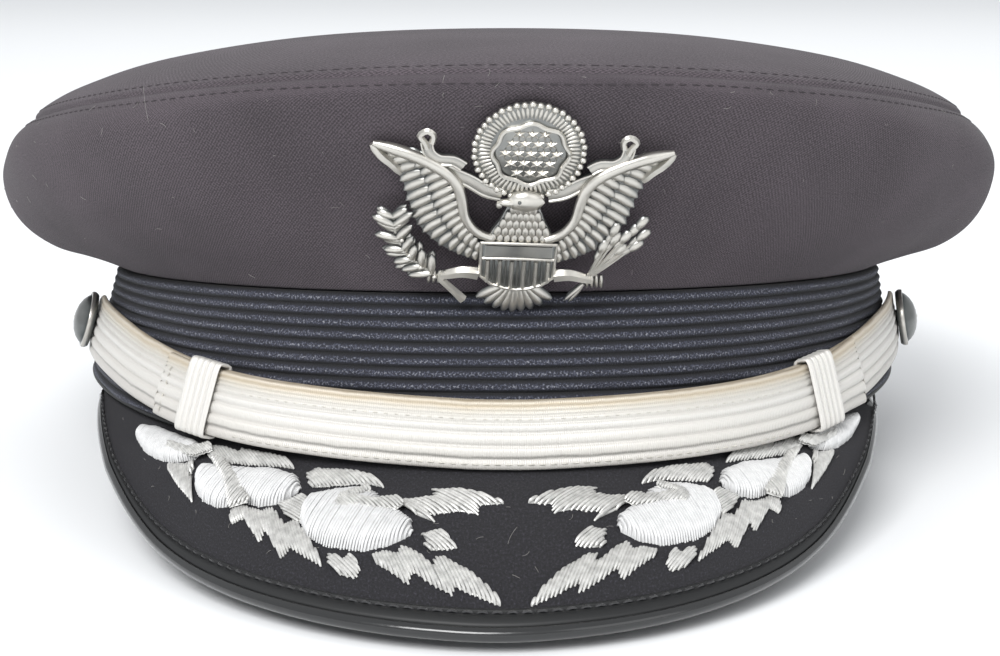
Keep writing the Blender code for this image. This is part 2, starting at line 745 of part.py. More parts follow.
def button(name, side, finish, collection, cutters):
    """A domed button on its shank, with a raised star."""
    head = STRAP_STAND + STRAP_WALL + SEAT_GAP
    top = head + BUTTON_DOME
    profile = [(BUTTON_RADIUS * row.radius, top - BUTTON_DOME * row.fall) for row in BUTTON_ROWS]
    profile += [(SHANK_RADIUS, head), (SHANK_RADIUS, SEAT_GAP), (0.0, SEAT_GAP)]
    mesh = bpy.data.meshes.new(name)
    edges = [(index, index + 1) for index in range(len(profile) - 1)]
    mesh.from_pydata([(radius, 0.0, height) for radius, height in profile], edges, [])
    item = add_object(name, mesh, finish, collection)
    turned = item.modifiers.new("turned", "SCREW")
    turned.axis = "Z"
    turned.steps = BUTTON_STEPS
    turned.render_steps = BUTTON_STEPS
    turned.use_merge_vertices = True
    turned.merge_threshold = 0.00001
    turned.use_smooth_shade = True
    item.matrix_world = button_frame(side)
    star = add_helper("star", star_mesh("star", BUTTON_STAR, BUTTON_STAR * STAR_NOTCH_SHARE), cutters)
    star_foot = top - BUTTON_DOME * STAR_FOOT_SHARE
    star.matrix_world = button_frame(side) @ Matrix.Translation((0.0, 0.0, star_foot))
    thicken(star, BUTTON_DOME * STAR_RISE_SHARE, 1.0)
    raised = item.modifiers.new("raised", "BOOLEAN")
    raised.operation = "UNION"
    raised.object = star
    raised.solver = "EXACT"
    return item


def star_mesh(name, outer, inner):
    """A flat five-pointed star that faces +Z."""
    points = []
    for index in range(10):
        radius = inner if index % 2 else outer
        angle = math.pi * (0.5 + index / 5.0)
        points.append((radius * math.cos(angle), radius * math.sin(angle), 0.0))
    mesh = bpy.data.meshes.new(name)
    mesh.from_pydata(points, [], [tuple(range(10))])
    return mesh


def flat_face(name, outline):
    """One flat face that faces +Z, from outline points."""
    work = bmesh.new()
    face = work.faces.new([work.verts.new((x, y, 0.0)) for x, y in outline])
    face.normal_update()
    if face.normal.z < 0.0:
        face.normal_flip()
    mesh = bpy.data.meshes.new(name)
    work.to_mesh(mesh)
    work.free()
    return mesh


def drape(mesh, columns, rows, place):
    """Cut a flat mesh along columns and rows, then move each of its points with a function."""
    work = bmesh.new()
    work.from_mesh(mesh)
    for value, axis in [(column, 0) for column in columns] + [(row, 1) for row in rows]:
        point = [0.0, 0.0, 0.0]
        normal = [0.0, 0.0, 0.0]
        point[axis] = value
        normal[axis] = 1.0
        everything = work.verts[:] + work.edges[:] + work.faces[:]
        bmesh.ops.bisect_plane(work, geom=everything, dist=1e-6, plane_co=point, plane_no=normal)
    for vertex in work.verts:
        vertex.co = place(vertex.co)
    work.normal_update()
    work.to_mesh(mesh)
    work.free()


def embroidered(name, outline, side, height, finish, collection):
    """A padded motif that follows the peak's upper face."""
    middle = EMBROIDERY_MIDDLE
    turns = [(middle + side * turn, share * SHARE_SCALE) for turn, share in outline]

    def on_visor(point):
        _, up = visor_axes(point.x, point.y / SHARE_SCALE)
        return visor_place(point.x, point.y / SHARE_SCALE) + up * SEAT_GAP

    mesh = flat_face(name, turns)
    drape(mesh, visor_turns(90.0), [SHARE_SCALE * share for share in VISOR_SHARES], on_visor)
    item = add_object(name, mesh, finish, collection)
    # The draped face looks down at the peak, so behind it is up
    thicken(item, height, -1.0)
    return item


def embroidery(collection):
    """Clouds and darts on both sides of the peak."""
    for side, word in ((-1.0, "left"), (1.0, "right")):
        for name, outline in CLOUDS.items():
            embroidered(f"{name}_{word}", outline, side, PADDING_HEIGHT, PADDING, collection)
        for name, outline in DARTS.items():
            embroidered(f"{name}_{word}", outline, side, DART_HEIGHT, BULLION, collection)


def bar(start, end, half_width):
    """The outline of a straight bar between two points."""
    along = Vector((end[0] - start[0], end[1] - start[1])).normalized()
    side = Vector((-along.y, along.x)) * half_width
    return [
        (start[0] - side.x, start[1] - side.y),
        (end[0] - side.x, end[1] - side.y),
        (end[0] + side.x, end[1] + side.y),
        (start[0] + side.x, start[1] + side.y),
    ]


def leaf(root, angle, length, half_width):
    """A pointed leaf or an arrowhead from its root."""
    along = Vector((math.cos(math.radians(angle)), math.sin(math.radians(angle))))
    side = Vector((-along.y, along.x))
    base = Vector(root)
    belly = base + along * length * LEAF_BELLY_SHARE
    points = (base, belly - side * half_width, base + along * length, belly + side * half_width)
    return [(point.x, point.y) for point in points]


def ring_of(centre, radius, count):
    """Points on a circle."""
    angles = [2.0 * math.pi * index / count for index in range(count)]
    return [(centre[0] + radius * math.cos(angle), centre[1] + radius * math.sin(angle)) for angle in angles]


def mirrored(outline):
    """An outline's mirror image across the badge's middle line."""
    return [(-x, y) for x, y in outline]


def badge_shapes():
    """Every raised shape of the badge: its outline and its height as a share of the relief."""
    shapes = [
        (ring_of(GLORY_CENTRE, GLORY_RADIUS, GLORY_STEPS), RELIEF["glory"]),
        (ring_of(GLORY_CENTRE, GLORY_RADIUS * CARTOUCHE_SHARE, CARTOUCHE_STEPS), RELIEF["cartouche"]),
        (BODY, RELIEF["body"]),
        (HEAD, RELIEF["head"]),
        (SHIELD, RELIEF["shield"]),
        (TAIL, RELIEF["tail"]),
    ]
    for flip in (lambda outline: outline, mirrored):
        shapes.append((flip(WING), RELIEF["wing"]))
        shapes.append((flip(SCROLL_ARM), RELIEF["scroll"]))
        shapes.append((flip(LEG), RELIEF["leg"]))
        shapes += [(flip(feather), RELIEF["wing_feather"]) for feather in wing_feathers()]
    for index, root in enumerate(ring_of(GLORY_CENTRE, GLORY_RADIUS * RAY_ROOT_SHARE, GLORY_RAYS)):
        ray = leaf(root, 360.0 * index / GLORY_RAYS, GLORY_RADIUS * RAY_LENGTH_SHARE, RAY_HALF_WIDTH)
        shapes.append((ray, RELIEF["ray"]))
    for index in range(STRIPES):
        across = STRIPE_SPREAD * (index - (STRIPES - 1) / 2) / STRIPES
        stripe = bar((across, STRIPE_TOP), (across, STRIPE_FOOT), STRIPE_HALF_WIDTH)
        shapes.append((stripe, RELIEF["stripe"]))
    chief = bar((-CHIEF_END, CHIEF_HEIGHT), (CHIEF_END, CHIEF_HEIGHT), CHIEF_HALF_WIDTH)
    shapes.append((chief, RELIEF["chief"]))
    for index in range(TAIL_FEATHERS):
        across = TAIL_SPREAD * (index - (TAIL_FEATHERS - 1) / 2) / (TAIL_FEATHERS - 1)
        feather = bar((across * TAIL_ROOT_SHARE, TAIL_ROOT), (across, TAIL_TIP), TAIL_HALF_WIDTH)
        shapes.append((feather, RELIEF["tail_feather"]))
    return shapes + branch_shapes() + arrow_shapes()


def wing_feathers():
    """Two tiers of feathers that fan out across a wing."""
    feathers = []
    for index in range(WING_FEATHERS):
        share = index / (WING_FEATHERS - 1.0)
        root = [start + step * share for start, step in zip(FEATHER_ROOT, FEATHER_ROOT_STEP)]
        tip = [start + step * share for start, step in zip(FEATHER_TIP, FEATHER_TIP_STEP)]
        tip[1] -= FEATHER_TIP_DIP * math.sin(math.pi * share)
        feathers.append(bar(root, tip, FEATHER_HALF_WIDTH))
    return feathers


def branch_shapes():
    """The stem and leaves held on the left."""
    shapes = []
    for low, high in zip(BRANCH_STEM, BRANCH_STEM[1:]):
        shapes.append((bar(low, high, STEM_HALF_WIDTH), RELIEF["stem"]))
        heading = math.degrees(math.atan2(high[1] - low[1], high[0] - low[0]))
        for lean, along in zip((-LEAF_LEAN, LEAF_LEAN), LEAF_PLACES):
            root = Vector(low).lerp(Vector(high), along)
            shapes.append((leaf(root, heading + lean, LEAF_LENGTH, LEAF_HALF_WIDTH), RELIEF["leaf"]))
    return shapes


def arrow_shapes():
    """Three arrows held on the right."""
    shapes = []
    for tip in ARROW_TIPS:
        heading = math.degrees(math.atan2(tip[1] - ARROW_NOCK[1], tip[0] - ARROW_NOCK[0]))
        neck = Vector(ARROW_NOCK).lerp(Vector(tip), ARROW_NECK_SHARE)
        shapes.append((bar(ARROW_NOCK, tip, STEM_HALF_WIDTH), RELIEF["stem"]))
        head = leaf(neck, heading, ARROW_HEAD_LENGTH, ARROW_HEAD_HALF_WIDTH)
        shapes.append((head, RELIEF["arrow_head"]))
    return shapes


def badge_place(point):
    """From the flat badge to its place in front of the crown, curved round it and rolled a little."""
    roll = math.radians(-BADGE_ROLL)
    across = point.x * math.cos(roll) - point.y * math.sin(roll)
    rise = point.x * math.sin(roll) + point.y * math.cos(roll) + BADGE_SPAN * BADGE_FOOT_SHARE
    lean = math.radians(BADGE_LEAN)
    out = BADGE_FOOT_STAND + rise * math.sin(lean) + point.z * math.cos(lean)
    height = BADGE_FOOT_HEIGHT + rise * math.cos(lean) - point.z * math.sin(lean)
    growth = BAND_WALL - BAND_TAPER + out
    bearing = math.degrees(math.asin(across / (HEAD_WIDTH / 2 + growth)))
    place = oval(bearing, growth, height)
    return place + Vector((BADGE_ASIDE, 0.0, 0.0))


def badge(finish, collection, cutters):
    """The pewter badge: all its raised shapes fused, then bent round the crown's front."""
    base = add_helper("badge_flat", flat_face("badge_flat", scaled(BODY)), cutters)
    thicken(base, BADGE_PLATE, 1.0)
    shapes = bpy.data.collections.new("badge_shapes")
    cutters.children.link(shapes)
    raised = badge_shapes()
    for index, (outline, height) in enumerate(raised):
        item = add_helper("badge_shape", flat_face("badge_shape", scaled(outline)), shapes)
        item.location.z = BADGE_STAGGER * (index + 1.0) / len(raised)
        thicken(item, BADGE_PLATE + BADGE_RELIEF * height, 1.0)
    fused = base.modifiers.new("fused", "BOOLEAN")
    fused.operation = "UNION"
    fused.operand_type = "COLLECTION"
    fused.collection = shapes
    fused.solver = "EXACT"
    bpy.context.view_layer.update()
    flat = base.evaluated_get(bpy.context.evaluated_depsgraph_get())
    mesh = bpy.data.meshes.new_from_object(flat)
    for item in [base, *shapes.objects]:
        bpy.data.objects.remove(item, do_unlink=True)
    bpy.data.collections.remove(shapes)
    work = bmesh.new()
    work.from_mesh(mesh)
    bmesh.ops.triangulate(work, faces=work.faces[:])
    for vertex in work.verts:
        vertex.co = badge_place(vertex.co)
    work.to_mesh(mesh)
    work.free()
    mesh.materials.clear()
    return add_object("badge", mesh, finish, collection)


def scaled(outline):
    """Badge shares as metres."""
    return [(x * BADGE_SPAN, y * BADGE_SPAN) for x, y in outline]


def lowest(items, tip):
    """The lowest point of some objects once tipped back."""
    return min((tip @ item.matrix_world @ vertex.co).z for item in items for vertex in item.data.vertices)


def stand_on_surface(items):
    """Tip the cap back until peak and band both touch the surface, and centre it over the origin."""
    rim = [item for item in items if item.name == "visor_rim"]
    band = [item for item in items if item.name == "braid_band"]
    low = 0.0
    high = math.radians(20.0)
    for _ in range(40):
        angle = (low + high) / 2
        if lowest(rim, Matrix.Rotation(-angle, 4, "X")) < lowest(band, Matrix.Rotation(-angle, 4, "X")):
            low = angle
        else:
            high = angle
    tip = Matrix.Rotation(-angle, 4, "X")
    bpy.context.view_layer.update()
    solids = [item for item in items if not item.hide_render]
    points = [tip @ place for item in solids for place in placed_points(item)]
    middle_x = (max(point.x for point in points) + min(point.x for point in points)) / 2
    middle_y = (max(point.y for point in points) + min(point.y for point in points)) / 2
    settle = Matrix.Translation((-middle_x, -middle_y, -min(point.z for point in points))) @ tip
    for item in items:
        item.matrix_world = settle @ item.matrix_world


def placed_points(item):
    """A finished piece's points in the cap's frame."""
    finished = item.evaluated_get(bpy.context.evaluated_depsgraph_get())
    mesh = finished.to_mesh()
    points = [item.matrix_world @ vertex.co for vertex in mesh.vertices]
    finished.to_mesh_clear()
    return points


def main():
    for item in list(bpy.data.objects):
        bpy.data.objects.remove(item, do_unlink=True)
    parts = bpy.data.collections.new("forage_cap")
    cutters = bpy.data.collections.new("cutters")
    bpy.context.scene.collection.children.link(parts)
    bpy.context.scene.collection.children.link(cutters)

    crown_side(TWILL, parts)
    crown_top(TWILL, parts)
    braid_band(BRAID, parts)
    visor(FELT, parts)
    visor_welt(FELT, parts)
    visor_rim(PATENT, parts)
    strap_back(LACE, parts, cutters)
    strap_front(LACE, parts)
    keeper("keeper_left", KEEPER_LEFT_BEARING, LACE, parts)
    keeper("keeper_right", KEEPER_RIGHT_BEARING, LACE, parts)
    button("button_left", -1.0, PEWTER, parts, cutters)
    button("button_right", 1.0, PEWTER, parts, cutters)
    badge(PEWTER, parts, cutters)
    embroidery(parts)
    stand_on_surface([*parts.objects, *cutters.objects])


if __name__ == "__main__":
    main()
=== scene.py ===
"""Looks of the forage cap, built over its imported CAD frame.

Pieces are worked out in the cap's own frame, whose origin is the middle of the band's bottom edge, and are
moved into the row frame with the place and axis of the record's head_opening mount.
A bearing is an angle round the head oval in degrees: 0 at the front, 90 at +X, 180 at the back.
A turn is the same kind of angle along the peak's outer edge: 0 at its tip, 90 at its right corner.
"""

import json
import math

import bpy
import numpy as np
from mathutils import Matrix, Vector


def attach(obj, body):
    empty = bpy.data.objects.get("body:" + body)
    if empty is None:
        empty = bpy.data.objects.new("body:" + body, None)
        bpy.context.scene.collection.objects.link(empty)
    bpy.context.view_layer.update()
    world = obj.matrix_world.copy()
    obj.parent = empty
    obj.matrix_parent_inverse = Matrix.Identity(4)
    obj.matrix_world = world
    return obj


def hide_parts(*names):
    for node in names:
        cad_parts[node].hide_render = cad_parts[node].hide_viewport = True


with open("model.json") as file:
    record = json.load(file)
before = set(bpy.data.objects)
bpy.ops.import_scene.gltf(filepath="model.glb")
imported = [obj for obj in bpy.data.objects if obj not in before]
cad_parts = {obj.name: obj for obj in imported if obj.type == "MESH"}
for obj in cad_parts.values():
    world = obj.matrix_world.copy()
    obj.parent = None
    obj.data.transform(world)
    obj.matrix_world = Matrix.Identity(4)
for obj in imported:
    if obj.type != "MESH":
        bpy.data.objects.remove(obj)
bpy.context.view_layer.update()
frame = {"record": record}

# Sizes shared with the solids, in metres
HEAD_WIDTH = 0.1808
HEAD_LENGTH = 0.2080
BAND_HEIGHT = 0.0300
BAND_WALL = 0.0042
BAND_TAPER = 0.0060
RIB_COUNT = 13
RIB_DEPTH = 0.0006
SIDE_LEAN = 0.0019
CROWN_WALL = 0.0018
HEM_INSET = 0.0012
OVERHANG_FRONT = 0.0290
OVERHANG_SIDE = 0.0262
OVERHANG_REAR = 0.0270
SEAM_RISE_FRONT = 0.0410
SEAM_RISE_SIDE = 0.0325
SEAM_RISE_REAR = 0.0355
DOME_RISE = 0.0530
FOLD_SAG = 0.0012
VISOR_WALL = 0.0020
VISOR_HALF_WIDTH = 0.0912
VISOR_REACH = 0.0406
VISOR_SHIFT = -0.0018
VISOR_DROP = 0.0240
VISOR_CROWNING = 0.0010
RIM_NOSE = 0.0012
EDGE_END_TURN = 73.0
STRAP_WIDTH = 0.0130
STRAP_WALL = 0.0011
STRAP_STAND = 0.0015
STRAP_FRONT_HEIGHT = 0.0040
STRAP_RIGHT_SAG = 0.0010
STRAP_FRONT_START = -45.5
STRAP_FRONT_END = 51.0
STRAP_FLARE = 0.0012
KEEPER_LENGTH = 0.0088
KEEPER_WALL = 0.0006
KEEPER_EASE = 0.0006
KEEPER_LEFT_BEARING = -38.0
KEEPER_RIGHT_BEARING = 42.0
BUTTON_HEIGHT = 0.0180
BUTTON_BEARING = 75.0
BUTTON_RADIUS = 0.0064
BUTTON_DOME = 0.0042
BADGE_FOOT_HEIGHT = 0.0270
BADGE_FOOT_STAND = 0.0012
BADGE_FOOT = 0.0120
BADGE_ASIDE = 0.0008
BADGE_LEAN = 32.5
BADGE_ROLL = 2.5
SEAT_GAP = 0.0003
EMBROIDERY_MIDDLE = 1.5

# How the soft parts differ from the solids: the band's bottom edge arches up at the sides, where the peak is
# narrower and its trimming thinner
SIDE_ARCH = 0.0072
SIDE_TURNS = (30.0, 80.0)
PEAK_INSET = 0.0006
CORNER_INSET = 0.0026
CORNER_TURNS = (57.0, 72.0)
SIDE_TRIM = 0.70

# Cloth relief: height, waves round the crown, phase and climb from hem to seam
RIPPLES = ((0.00045, 9.0, 0.0, 5.0), (0.00030, 17.0, 1.3, 9.0))
SEAM_DEPTH = 0.00055
SEAM_SPREAD = 0.0008
TOPSTITCH_OFFSET = 0.0024
TOPSTITCH_DEPTH = 0.00012
TOPSTITCH_SPREAD = 0.0007
BEARINGS = np.arange(288) * 360.0 / 288 - 180.0

# Stitches: pitch, length and thread radius
CROWN_STITCH = (0.0026, 0.0019, 0.00013)
WELT_STITCH = (0.0026, 0.0020, 0.00028)
STRAP_STITCH = (0.0021, 0.0012, 0.00013)
STRAP_END_STITCH = (0.0014, 0.0010, 0.00016)

# Rows of stitches on the strap: shares of its width, the bearings they run between, and how far the row
# across it lies from its free end
STRAP_STITCH_SHARES = (0.72, 0.07)
STRAP_STITCH_RANGE = (-32.0, 36.0)
STRAP_END_TURN = 1.2

# Band: steps in a rib's section, how much deeper than the solid's its grooves are, and its bottom strip
RIB_STEPS = 9
RIB_DEEPENING = 1.3
RIB_DENT = 0.12
BAND_WAVE = 0.00012
STRIP_RADIUS = 0.0005

# Peak: the rim's top, bottom and inner edge off the board's edge, and the welt's section with its stitched
# groove
RIM_TOP = 0.0005
RIM_BOTTOM = -0.0021
RIM_EDGE = -0.0008
WELT_SEAM = -0.0041
WELT_PROFILE = (
    (-0.00085, 0.00030), (-0.0015, 0.00055), (-0.0025, 0.00062), (-0.0033, 0.00055), (-0.0037, 0.00035),
    (-0.0041, 0.00020), (-0.0045, 0.00040), (-0.0048, 0.00045), (-0.0051, 0.00030), (-0.0052, -0.0003),
    (-0.00085, -0.0003),
)
TAB_RADIUS = 0.0014
FIBRE_RADIUS = 0.00004

# Lace across its width from the lower edge: share of the width and share of the wall
LACE = np.array((
    (0.000, 0.55), (0.020, 0.72), (0.070, 0.80), (0.120, 0.76), (0.150, 0.60), (0.165, 0.80), (0.215, 1.00),
    (0.270, 1.05), (0.315, 0.95), (0.335, 0.68), (0.355, 0.92), (0.410, 1.05), (0.465, 1.04), (0.505, 0.92),
    (0.525, 0.66), (0.545, 0.90), (0.600, 1.04), (0.645, 0.96), (0.665, 0.66), (0.685, 0.84), (0.720, 0.90),
    (0.755, 0.84), (0.770, 0.66), (0.790, 0.80), (0.820, 0.82), (0.835, 0.68), (0.850, 0.80), (0.880, 0.82),
    (0.900, 0.68), (0.915, 0.80), (0.950, 0.82), (0.980, 0.74), (1.000, 0.50),
))
LACE_BACK = (1.0, 0.5, 0.0)
KEEPER_RIDGES = 5
KEEPER_RIDGE = 0.00060

# Buttons, from the middle of the dome round to the foot: share of the radius, fall below the top and
# brightness as painted shade, dark in the groove inside the rolled edge and light on its crest
BUTTON_DOME_ROWS = (
    (0.001, 0.0, 0.45), (0.20, 0.0, 0.45), (0.45, 0.0004, 0.40), (0.66, 0.0011, 0.35), (0.80, 0.0019, 0.25),
    (0.87, 0.0025, 0.10), (0.92, 0.0025, 0.55), (0.98, 0.0026, 0.90), (1.00, 0.0031, 0.80),
    (0.98, 0.0036, 0.30),
)
STAR_REACH = (0.60, 0.24)
STAR_FALL = (0.0011, 0.0002)

# Badge: places in millimetres on its flat face, from the middle of its shield
MM = 0.001
WING_ROWS = 16
WING_TRAIL = np.array((
    (24.6, 22.6), (23.4, 20.4), (22.0, 17.8), (21.1, 15.0), (20.3, 12.2), (19.6, 9.6), (18.4, 7.4),
    (16.6, 5.3),
    (14.5, 3.4), (12.0, 1.9), (9.8, 0.9), (7.6, 0.2),
))
WING_INNER = np.array((
    (18.6, 23.4), (16.6, 22.8), (14.8, 21.4), (13.4, 19.6), (12.4, 17.4), (11.6, 15.2), (11.0, 13.0),
    (10.4, 11.0),
    (9.7, 9.2), (8.9, 7.6), (8.0, 6.0), (7.0, 4.6),
))
WING_EDGE = np.array((
    (27.2, 25.4), (23.2, 24.3), (18.8, 22.7), (14.4, 20.2), (11.9, 17.4), (10.8, 14.0), (10.2, 10.6),
    (8.8, 8.0),
    (7.0, 6.4), (5.0, 5.6),
))
WING_TIP = np.array(((27.4, 25.0), (25.6, 22.6), (23.6, 20.8), (22.0, 18.8)))
GLORY = (0.8, 24.6)
GLORY_RADIUS = 9.9
GLORY_BEADS = 44
GLORY_RAYS = 64
CLOUD_RING = (1.1, 24.2)
STAR_ROWS = (3, 4, 5, 4, 3)
SCROLL_SHIFT = 0.6
SCROLL_ARM = np.array(((4.2, 15.2), (7.0, 15.9), (10.0, 17.8), (13.0, 19.2), (16.6, 20.8)))
SCROLL_BACK = np.array(((11.4, 21.3), (13.2, 22.4), (15.8, 22.6), (17.6, 24.0), (18.2, 26.4)))
SCROLL_CURL = np.array(((17.2, 26.2), (17.0, 27.8), (18.2, 28.6), (19.4, 27.6), (18.6, 26.4), (18.0, 25.0)))
# Ribbon section: offset across, lift and brightness as painted relief shade
RIBBON_PROFILE = (
    (-1.0, -0.4, 0.1), (-0.98, 0.45, 0.9), (-0.75, 0.5, 1.0), (-0.6, 0.28, 0.60), (0.0, 0.42, 0.85),
    (0.6, 0.28, 0.60), (0.75, 0.5, 1.0), (0.98, 0.45, 0.9), (1.0, -0.4, 0.1),
)
BREAST = (
    (-6.0, 4.4), (-5.0, 7.2), (-3.6, 9.6), (-2.6, 12.2), (-1.8, 15.0), (2.8, 15.0), (3.6, 12.2), (4.6, 9.6),
    (5.8, 7.2), (6.6, 4.4),
)
LEG = ((7.2, -2.6, 1.2), (10.0, -2.2, 1.5), (12.6, -2.9, 1.4), (14.4, -3.4, 1.2))
SHIELD = (
    (-6.8, 4.9), (-6.7, -2.6), (-4.6, -4.4), (-2.0, -5.3), (0.0, -5.6), (2.2, -5.3), (4.8, -4.4), (6.9, -2.6),
    (7.1, 4.9),
)
CHIEF = ((-6.1, 4.5), (-6.1, 2.0), (6.4, 2.0), (6.4, 4.5))
STEM = np.array((
    (-9.6, -8.9, 1.0), (-13.6, -4.6, 1.3), (-17.0, -1.6, 1.2), (-20.2, 1.0, 1.1), (-22.4, 5.0, 1.0),
    (-23.2, 9.4, 1.0),
))
ARROW_GRIP = np.array((13.0, -3.6))
ARROW_TIPS = (
    (15.6, 3.4), (17.6, 5.4), (19.4, 6.0), (20.9, 7.4), (22.2, 9.2), (21.4, 4.2), (18.6, 3.0),
    (17.4, 7.4), (22.6, 6.6),
)

# The embroidery's flat plane: how wide a degree of turn is, and how deep the peak, in millimetres
DEGREE = 2.0
PLANE = 40.0

# Crown sections, hem to seam: front out and up, side out and up, rear out and up, as shares
CROWN_ROWS = np.array((
    (0.000, 0.000, 0.000, 0.000, 0.000, 0.000),
    (0.130, 0.155, 0.300, 0.090, 0.250, 0.080),
    (0.320, 0.355, 0.570, 0.160, 0.530, 0.200),
    (0.545, 0.570, 0.800, 0.280, 0.790, 0.370),
    (0.765, 0.765, 0.950, 0.450, 0.950, 0.560),
    (0.960, 0.925, 1.000, 0.660, 1.000, 0.750),
    (0.985, 0.967, 0.910, 0.850, 0.960, 0.890),
    (0.960, 1.000, 0.720, 1.000, 0.840, 1.000),
))

# Crown rings from the seam to the middle: share of the way out and share of the fall
TOP_ROWS = np.array((
    (1.000, 1.000), (0.975, 0.860), (0.900, 0.640), (0.750, 0.360), (0.500, 0.110), (0.250, 0.015),
    (0.0, 0.0),
))

# Folds: bearing, spread in degrees and share of the sag
FOLDS = ((-84.0, 9.0, 1.0), (-112.0, 12.0, 0.5), (74.0, 6.0, 1.0), (98.0, 12.0, 0.6))

# Peak: turn, tuck, drop and shift
VISOR_STATIONS = np.array((
    (0.0, 0.55, 1.000, 0.5),
    (16.0, 0.55, 0.955, 0.6),
    (25.0, 0.55, 0.915, 0.8),
    (33.0, 0.55, 0.870, 1.0),
    (41.0, 0.55, 0.795, 1.1),
    (47.0, 0.55, 0.680, 1.1),
    (53.0, 0.55, 0.490, 1.1),
    (62.0, 0.60, 0.230, 0.9),
    (71.0, 0.70, 0.085, 0.7),
    (80.0, 0.82, 0.045, 0.4),
    (90.0, 0.95, 0.000, 0.0),
))

# Chin strap: bearing and climb
STRAP_STATIONS = np.array((
    (0.0, 0.00), (17.0, 0.10), (30.0, 0.20), (40.0, 0.33), (53.0, 0.62), (62.0, 0.83), (75.0, 1.00),
    (90.0, 1.08),
))

# Embroidery of one side: the angle of its strands in degrees, and its outline as turns from the middle and
# shares of the way out
CLOUDS = {
    "cloud_outer": (70.0, (
        (54.0, 0.38), (52.8, 0.20), (50.0, 0.12), (46.0, 0.11), (42.5, 0.12), (40.7, 0.16),
        (41.5, 0.24), (45.0, 0.34), (48.0, 0.40), (51.5, 0.43),
    )),
    "cloud_middle": (60.0, (
        (37.5, 0.26), (32.5, 0.22), (29.0, 0.20), (26.2, 0.23), (25.5, 0.31), (27.5, 0.41), (30.5, 0.47),
        (33.0, 0.46), (35.0, 0.52), (36.5, 0.55), (39.0, 0.54), (40.4, 0.49), (40.6, 0.40), (40.0, 0.30),
    )),
    "cloud_inner": (62.0, (
        (24.5, 0.43), (23.5, 0.35), (21.0, 0.29), (18.5, 0.26), (16.0, 0.29), (15.5, 0.34), (14.2, 0.37),
        (11.9, 0.45), (11.7, 0.52), (14.0, 0.59), (17.0, 0.64), (21.5, 0.64), (24.0, 0.60), (25.0, 0.52),
    )),
}
DARTS = {
    "dart_outer": (75.0, (
        (46.5, 0.41), (43.2, 0.33), (41.6, 0.28), (42.0, 0.38), (40.5, 0.58), (44.0, 0.50),
    )),
    "dart_upper": (40.0, (
        (39.8, 0.12), (37.5, 0.10), (34.5, 0.12), (34.5, 0.09), (31.0, 0.09), (28.0, 0.11),
        (27.0, 0.16), (29.0, 0.16), (36.0, 0.20), (39.5, 0.20),
    )),
    "dart_middle": (64.0, (
        (34.2, 0.54), (34.5, 0.63), (32.6, 0.56), (30.0, 0.69), (29.5, 0.60), (27.0, 0.75), (26.0, 0.68),
        (21.5, 0.76), (23.5, 0.63), (25.6, 0.52), (27.0, 0.56), (28.7, 0.47), (30.5, 0.51), (33.0, 0.50),
    )),
    "dart_short": (38.0, (
        (24.8, 0.21), (23.8, 0.16), (19.5, 0.15), (17.0, 0.17), (15.0, 0.24), (17.5, 0.22), (21.0, 0.25),
        (24.2, 0.28),
    )),
    "dart_inner": (30.0, (
        (13.4, 0.33), (11.5, 0.315), (9.0, 0.29), (9.5, 0.25), (7.0, 0.24), (4.0, 0.27), (1.5, 0.32),
        (4.5, 0.335), (4.4, 0.39), (6.5, 0.37), (10.0, 0.40), (9.0, 0.46), (10.6, 0.42), (12.6, 0.375),
    )),
    "dart_lower": (60.0, (
        (16.3, 0.68), (14.6, 0.64), (13.2, 0.645), (12.6, 0.60), (11.0, 0.63), (9.0, 0.70), (9.0, 0.65),
        (8.0, 0.65), (5.0, 0.72), (3.0, 0.80), (1.5, 0.88), (4.5, 0.83), (7.0, 0.78), (7.0, 0.83),
        (9.0, 0.79), (11.5, 0.72), (12.0, 0.79), (14.0, 0.73),
    )),
    "curl_upper": (35.0, (
        (11.0, 0.50), (10.0, 0.52), (8.5, 0.50), (7.5, 0.54), (6.5, 0.58), (8.0, 0.60), (10.5, 0.60),
        (9.5, 0.57),
    )),
    "curl_lower": (35.0, (
        (21.3, 0.69), (20.2, 0.69), (19.5, 0.72), (18.5, 0.68), (17.5, 0.73), (18.0, 0.79), (20.0, 0.78),
        (21.0, 0.74),
    )),
}
# Frills and grey lines that lie over a cloud: the motif, its angle, its height and its outline
OVERLAYS = (
    ("frill", 20.0, 0.0006, (
        (28.0, 0.44), (25.2, 0.36), (24.6, 0.37), (24.4, 0.52), (25.6, 0.53), (27.0, 0.50),
    )),
    ("arrow", 35.0, 0.0019, (
        (19.6, 0.35), (20.4, 0.42), (13.6, 0.42), (12.6, 0.375), (13.4, 0.345), (16.0, 0.37),
    )),
    ("arrow", 50.0, 0.0018, (
        (20.6, 0.44), (19.3, 0.43), (19.0, 0.36), (16.2, 0.30), (16.9, 0.29), (20.2, 0.36),
    )),
    ("arrow", 25.0, 0.0017, (
        (46.6, 0.23), (46.4, 0.29), (41.6, 0.27), (38.6, 0.17), (39.2, 0.13), (42.6, 0.21),
    )),
    ("arrow", -60.0, 0.0018, (
        (38.4, 0.24), (36.4, 0.23), (33.6, 0.35), (31.6, 0.48), (34.4, 0.56), (35.6, 0.40),
    )),
)

# Thread laid on the peak: pitch in millimetres, radius, height of the padding, first seed and how far the
# ends reach past the outline in millimetres
CLOUD_THREAD = (0.62, 0.00030, 0.0019, 11, 0.25)
DART_THREAD = (0.74, 0.00034, 0.0008, 31, 0.50)
OVERLAY_THREAD = (0.70, 0.00030, 0.0004, 51, 0.20)

